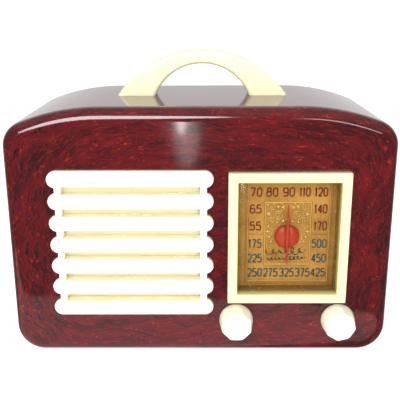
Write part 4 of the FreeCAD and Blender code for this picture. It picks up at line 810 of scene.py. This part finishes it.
def floor_and_room():
    """Pale floor, faintly lit from below, in a white room whose wall behind the set is bright.
    The floor sends no mirror image, so the glossy front stays deep."""
    side = 3.0
    corners = [(-side, -side, 0), (side, -side, 0), (side, side, 0), (-side, side, 0)]
    mesh = bpy.data.meshes.new("floor")
    mesh.from_pydata(corners, [], [(0, 1, 2, 3)])
    floor = bpy.data.objects.new("floor", mesh)
    bpy.context.scene.collection.objects.link(floor)
    finish = Finish("pale_floor", Base_Color=(0.55, 0.55, 0.55), Roughness=0.6,
                    Emission_Color=(1, 1, 1), Emission_Strength=0.72)
    mesh.materials.append(finish.material)
    floor.visible_glossy = False
    room = Room()
    _, ahead, up = room.split(room.node("ShaderNodeTexCoord", output="Generated"))
    dim = 0.14
    backdrop = 1.06
    wall = ahead.between(0.35, 0.85) * 0.75
    sky = up.between(0.1, 1.0) * 0.3
    seen = room.node("ShaderNodeLightPath", output="Is Camera Ray")
    room.light((dim + wall + sky) * (1 - seen) + seen * backdrop)


def soft_light(name, place, target, size, power, mirrored=True):
    """Soft box at a place, turned to a target, not seen by the camera itself, and by glossy
    pieces only where mirrored."""
    lamp = bpy.data.lights.new(name, "AREA")
    lamp.shape = "ELLIPSE"
    lamp.size, lamp.size_y = size
    lamp.energy = power
    made = bpy.data.objects.new(name, lamp)
    bpy.context.scene.collection.objects.link(made)
    made.location = place
    made.rotation_euler = (Vector(target) - Vector(place)).to_track_quat("-Z", "Y").to_euler()
    made.visible_camera = False
    made.visible_glossy = mirrored


def lights():
    """A wide soft box at the left of the camera and a weak one at the right. The gloss doesn't
    mirror the one in front, which fills the slots, or the one overhead. Two small ones on
    the table are mirrored as the upright glow over the grille, brightest at its top, and a
    flat one before the set as the pale sheen along its foot."""
    heart = (0, 0, MID_TALL)
    soft_light("key", place=(-0.38, -1.25, 0.82), target=heart, size=(0.95, 0.70), power=17)
    soft_light("front", place=(0.10, -1.20, 0.28), target=heart, size=(0.60, 0.50), power=8,
               mirrored=False)
    soft_light("fill", place=(0.50, -1.35, 0.48), target=heart, size=(0.50, 0.22), power=1.6)
    soft_light("overhead", place=(0.0, 0.05, 1.05), target=heart, size=(1.1, 0.8), power=5,
               mirrored=False)
    over_grille = (-0.005, FRONT, 0.13)
    soft_light("strip", place=(-0.022, -0.60, 0.036), target=over_grille, size=(0.034, 0.090),
               power=0.018)
    soft_light("gleam", place=(-0.030, -0.60, 0.060), target=over_grille, size=(0.012, 0.046),
               power=0.018)
    before_set = FRONT - 40 * MM
    soft_light("table", place=(-0.10, before_set, MM), target=(-0.10, before_set, 1.0),
               size=(0.48, 0.098), power=0.062)


def camera():
    """Eye straight in front, a little right of the middle and looking down at the set. Its
    place is taken from the foot of the front, and its angles are in degrees: to the right,
    down, and the tilt of the view."""
    from_foot = Vector((2.37, -384.2, 216.3)) * MM
    turned, lowered, tilted = -0.37, 16.58, -0.21
    eye = from_foot + Vector((0, FRONT, BASE))
    yaw, pitch, roll = (math.radians(angle) for angle in (turned, lowered, tilted))
    forward = math.cos(pitch)
    ahead = Vector((math.sin(yaw) * forward, math.cos(yaw) * forward, -math.sin(pitch)))
    level = Vector((math.cos(yaw), -math.sin(yaw), 0))
    up = level.cross(ahead)
    right = level * math.cos(roll) + up * math.sin(roll)
    up = up * math.cos(roll) - level * math.sin(roll)
    made = bpy.data.cameras.new("camera")
    made.lens = 60.37
    made.sensor_width = 36.0
    made.clip_start = 0.02
    eye_object = bpy.data.objects.new("camera", made)
    bpy.context.scene.collection.objects.link(eye_object)
    turn = Matrix((right, up, -ahead)).transposed().to_4x4()
    eye_object.matrix_world = Matrix.Translation(eye) @ turn
    bpy.context.scene.camera = eye_object


bpy.context.scene.view_settings.view_transform = "Standard"
camera()
floor_and_room()
lights()
FINISHES = make_finishes()
dress_nodes(FINISHES)
make_dial(FINISHES)
speaker_cloth_sheet(FINISHES)
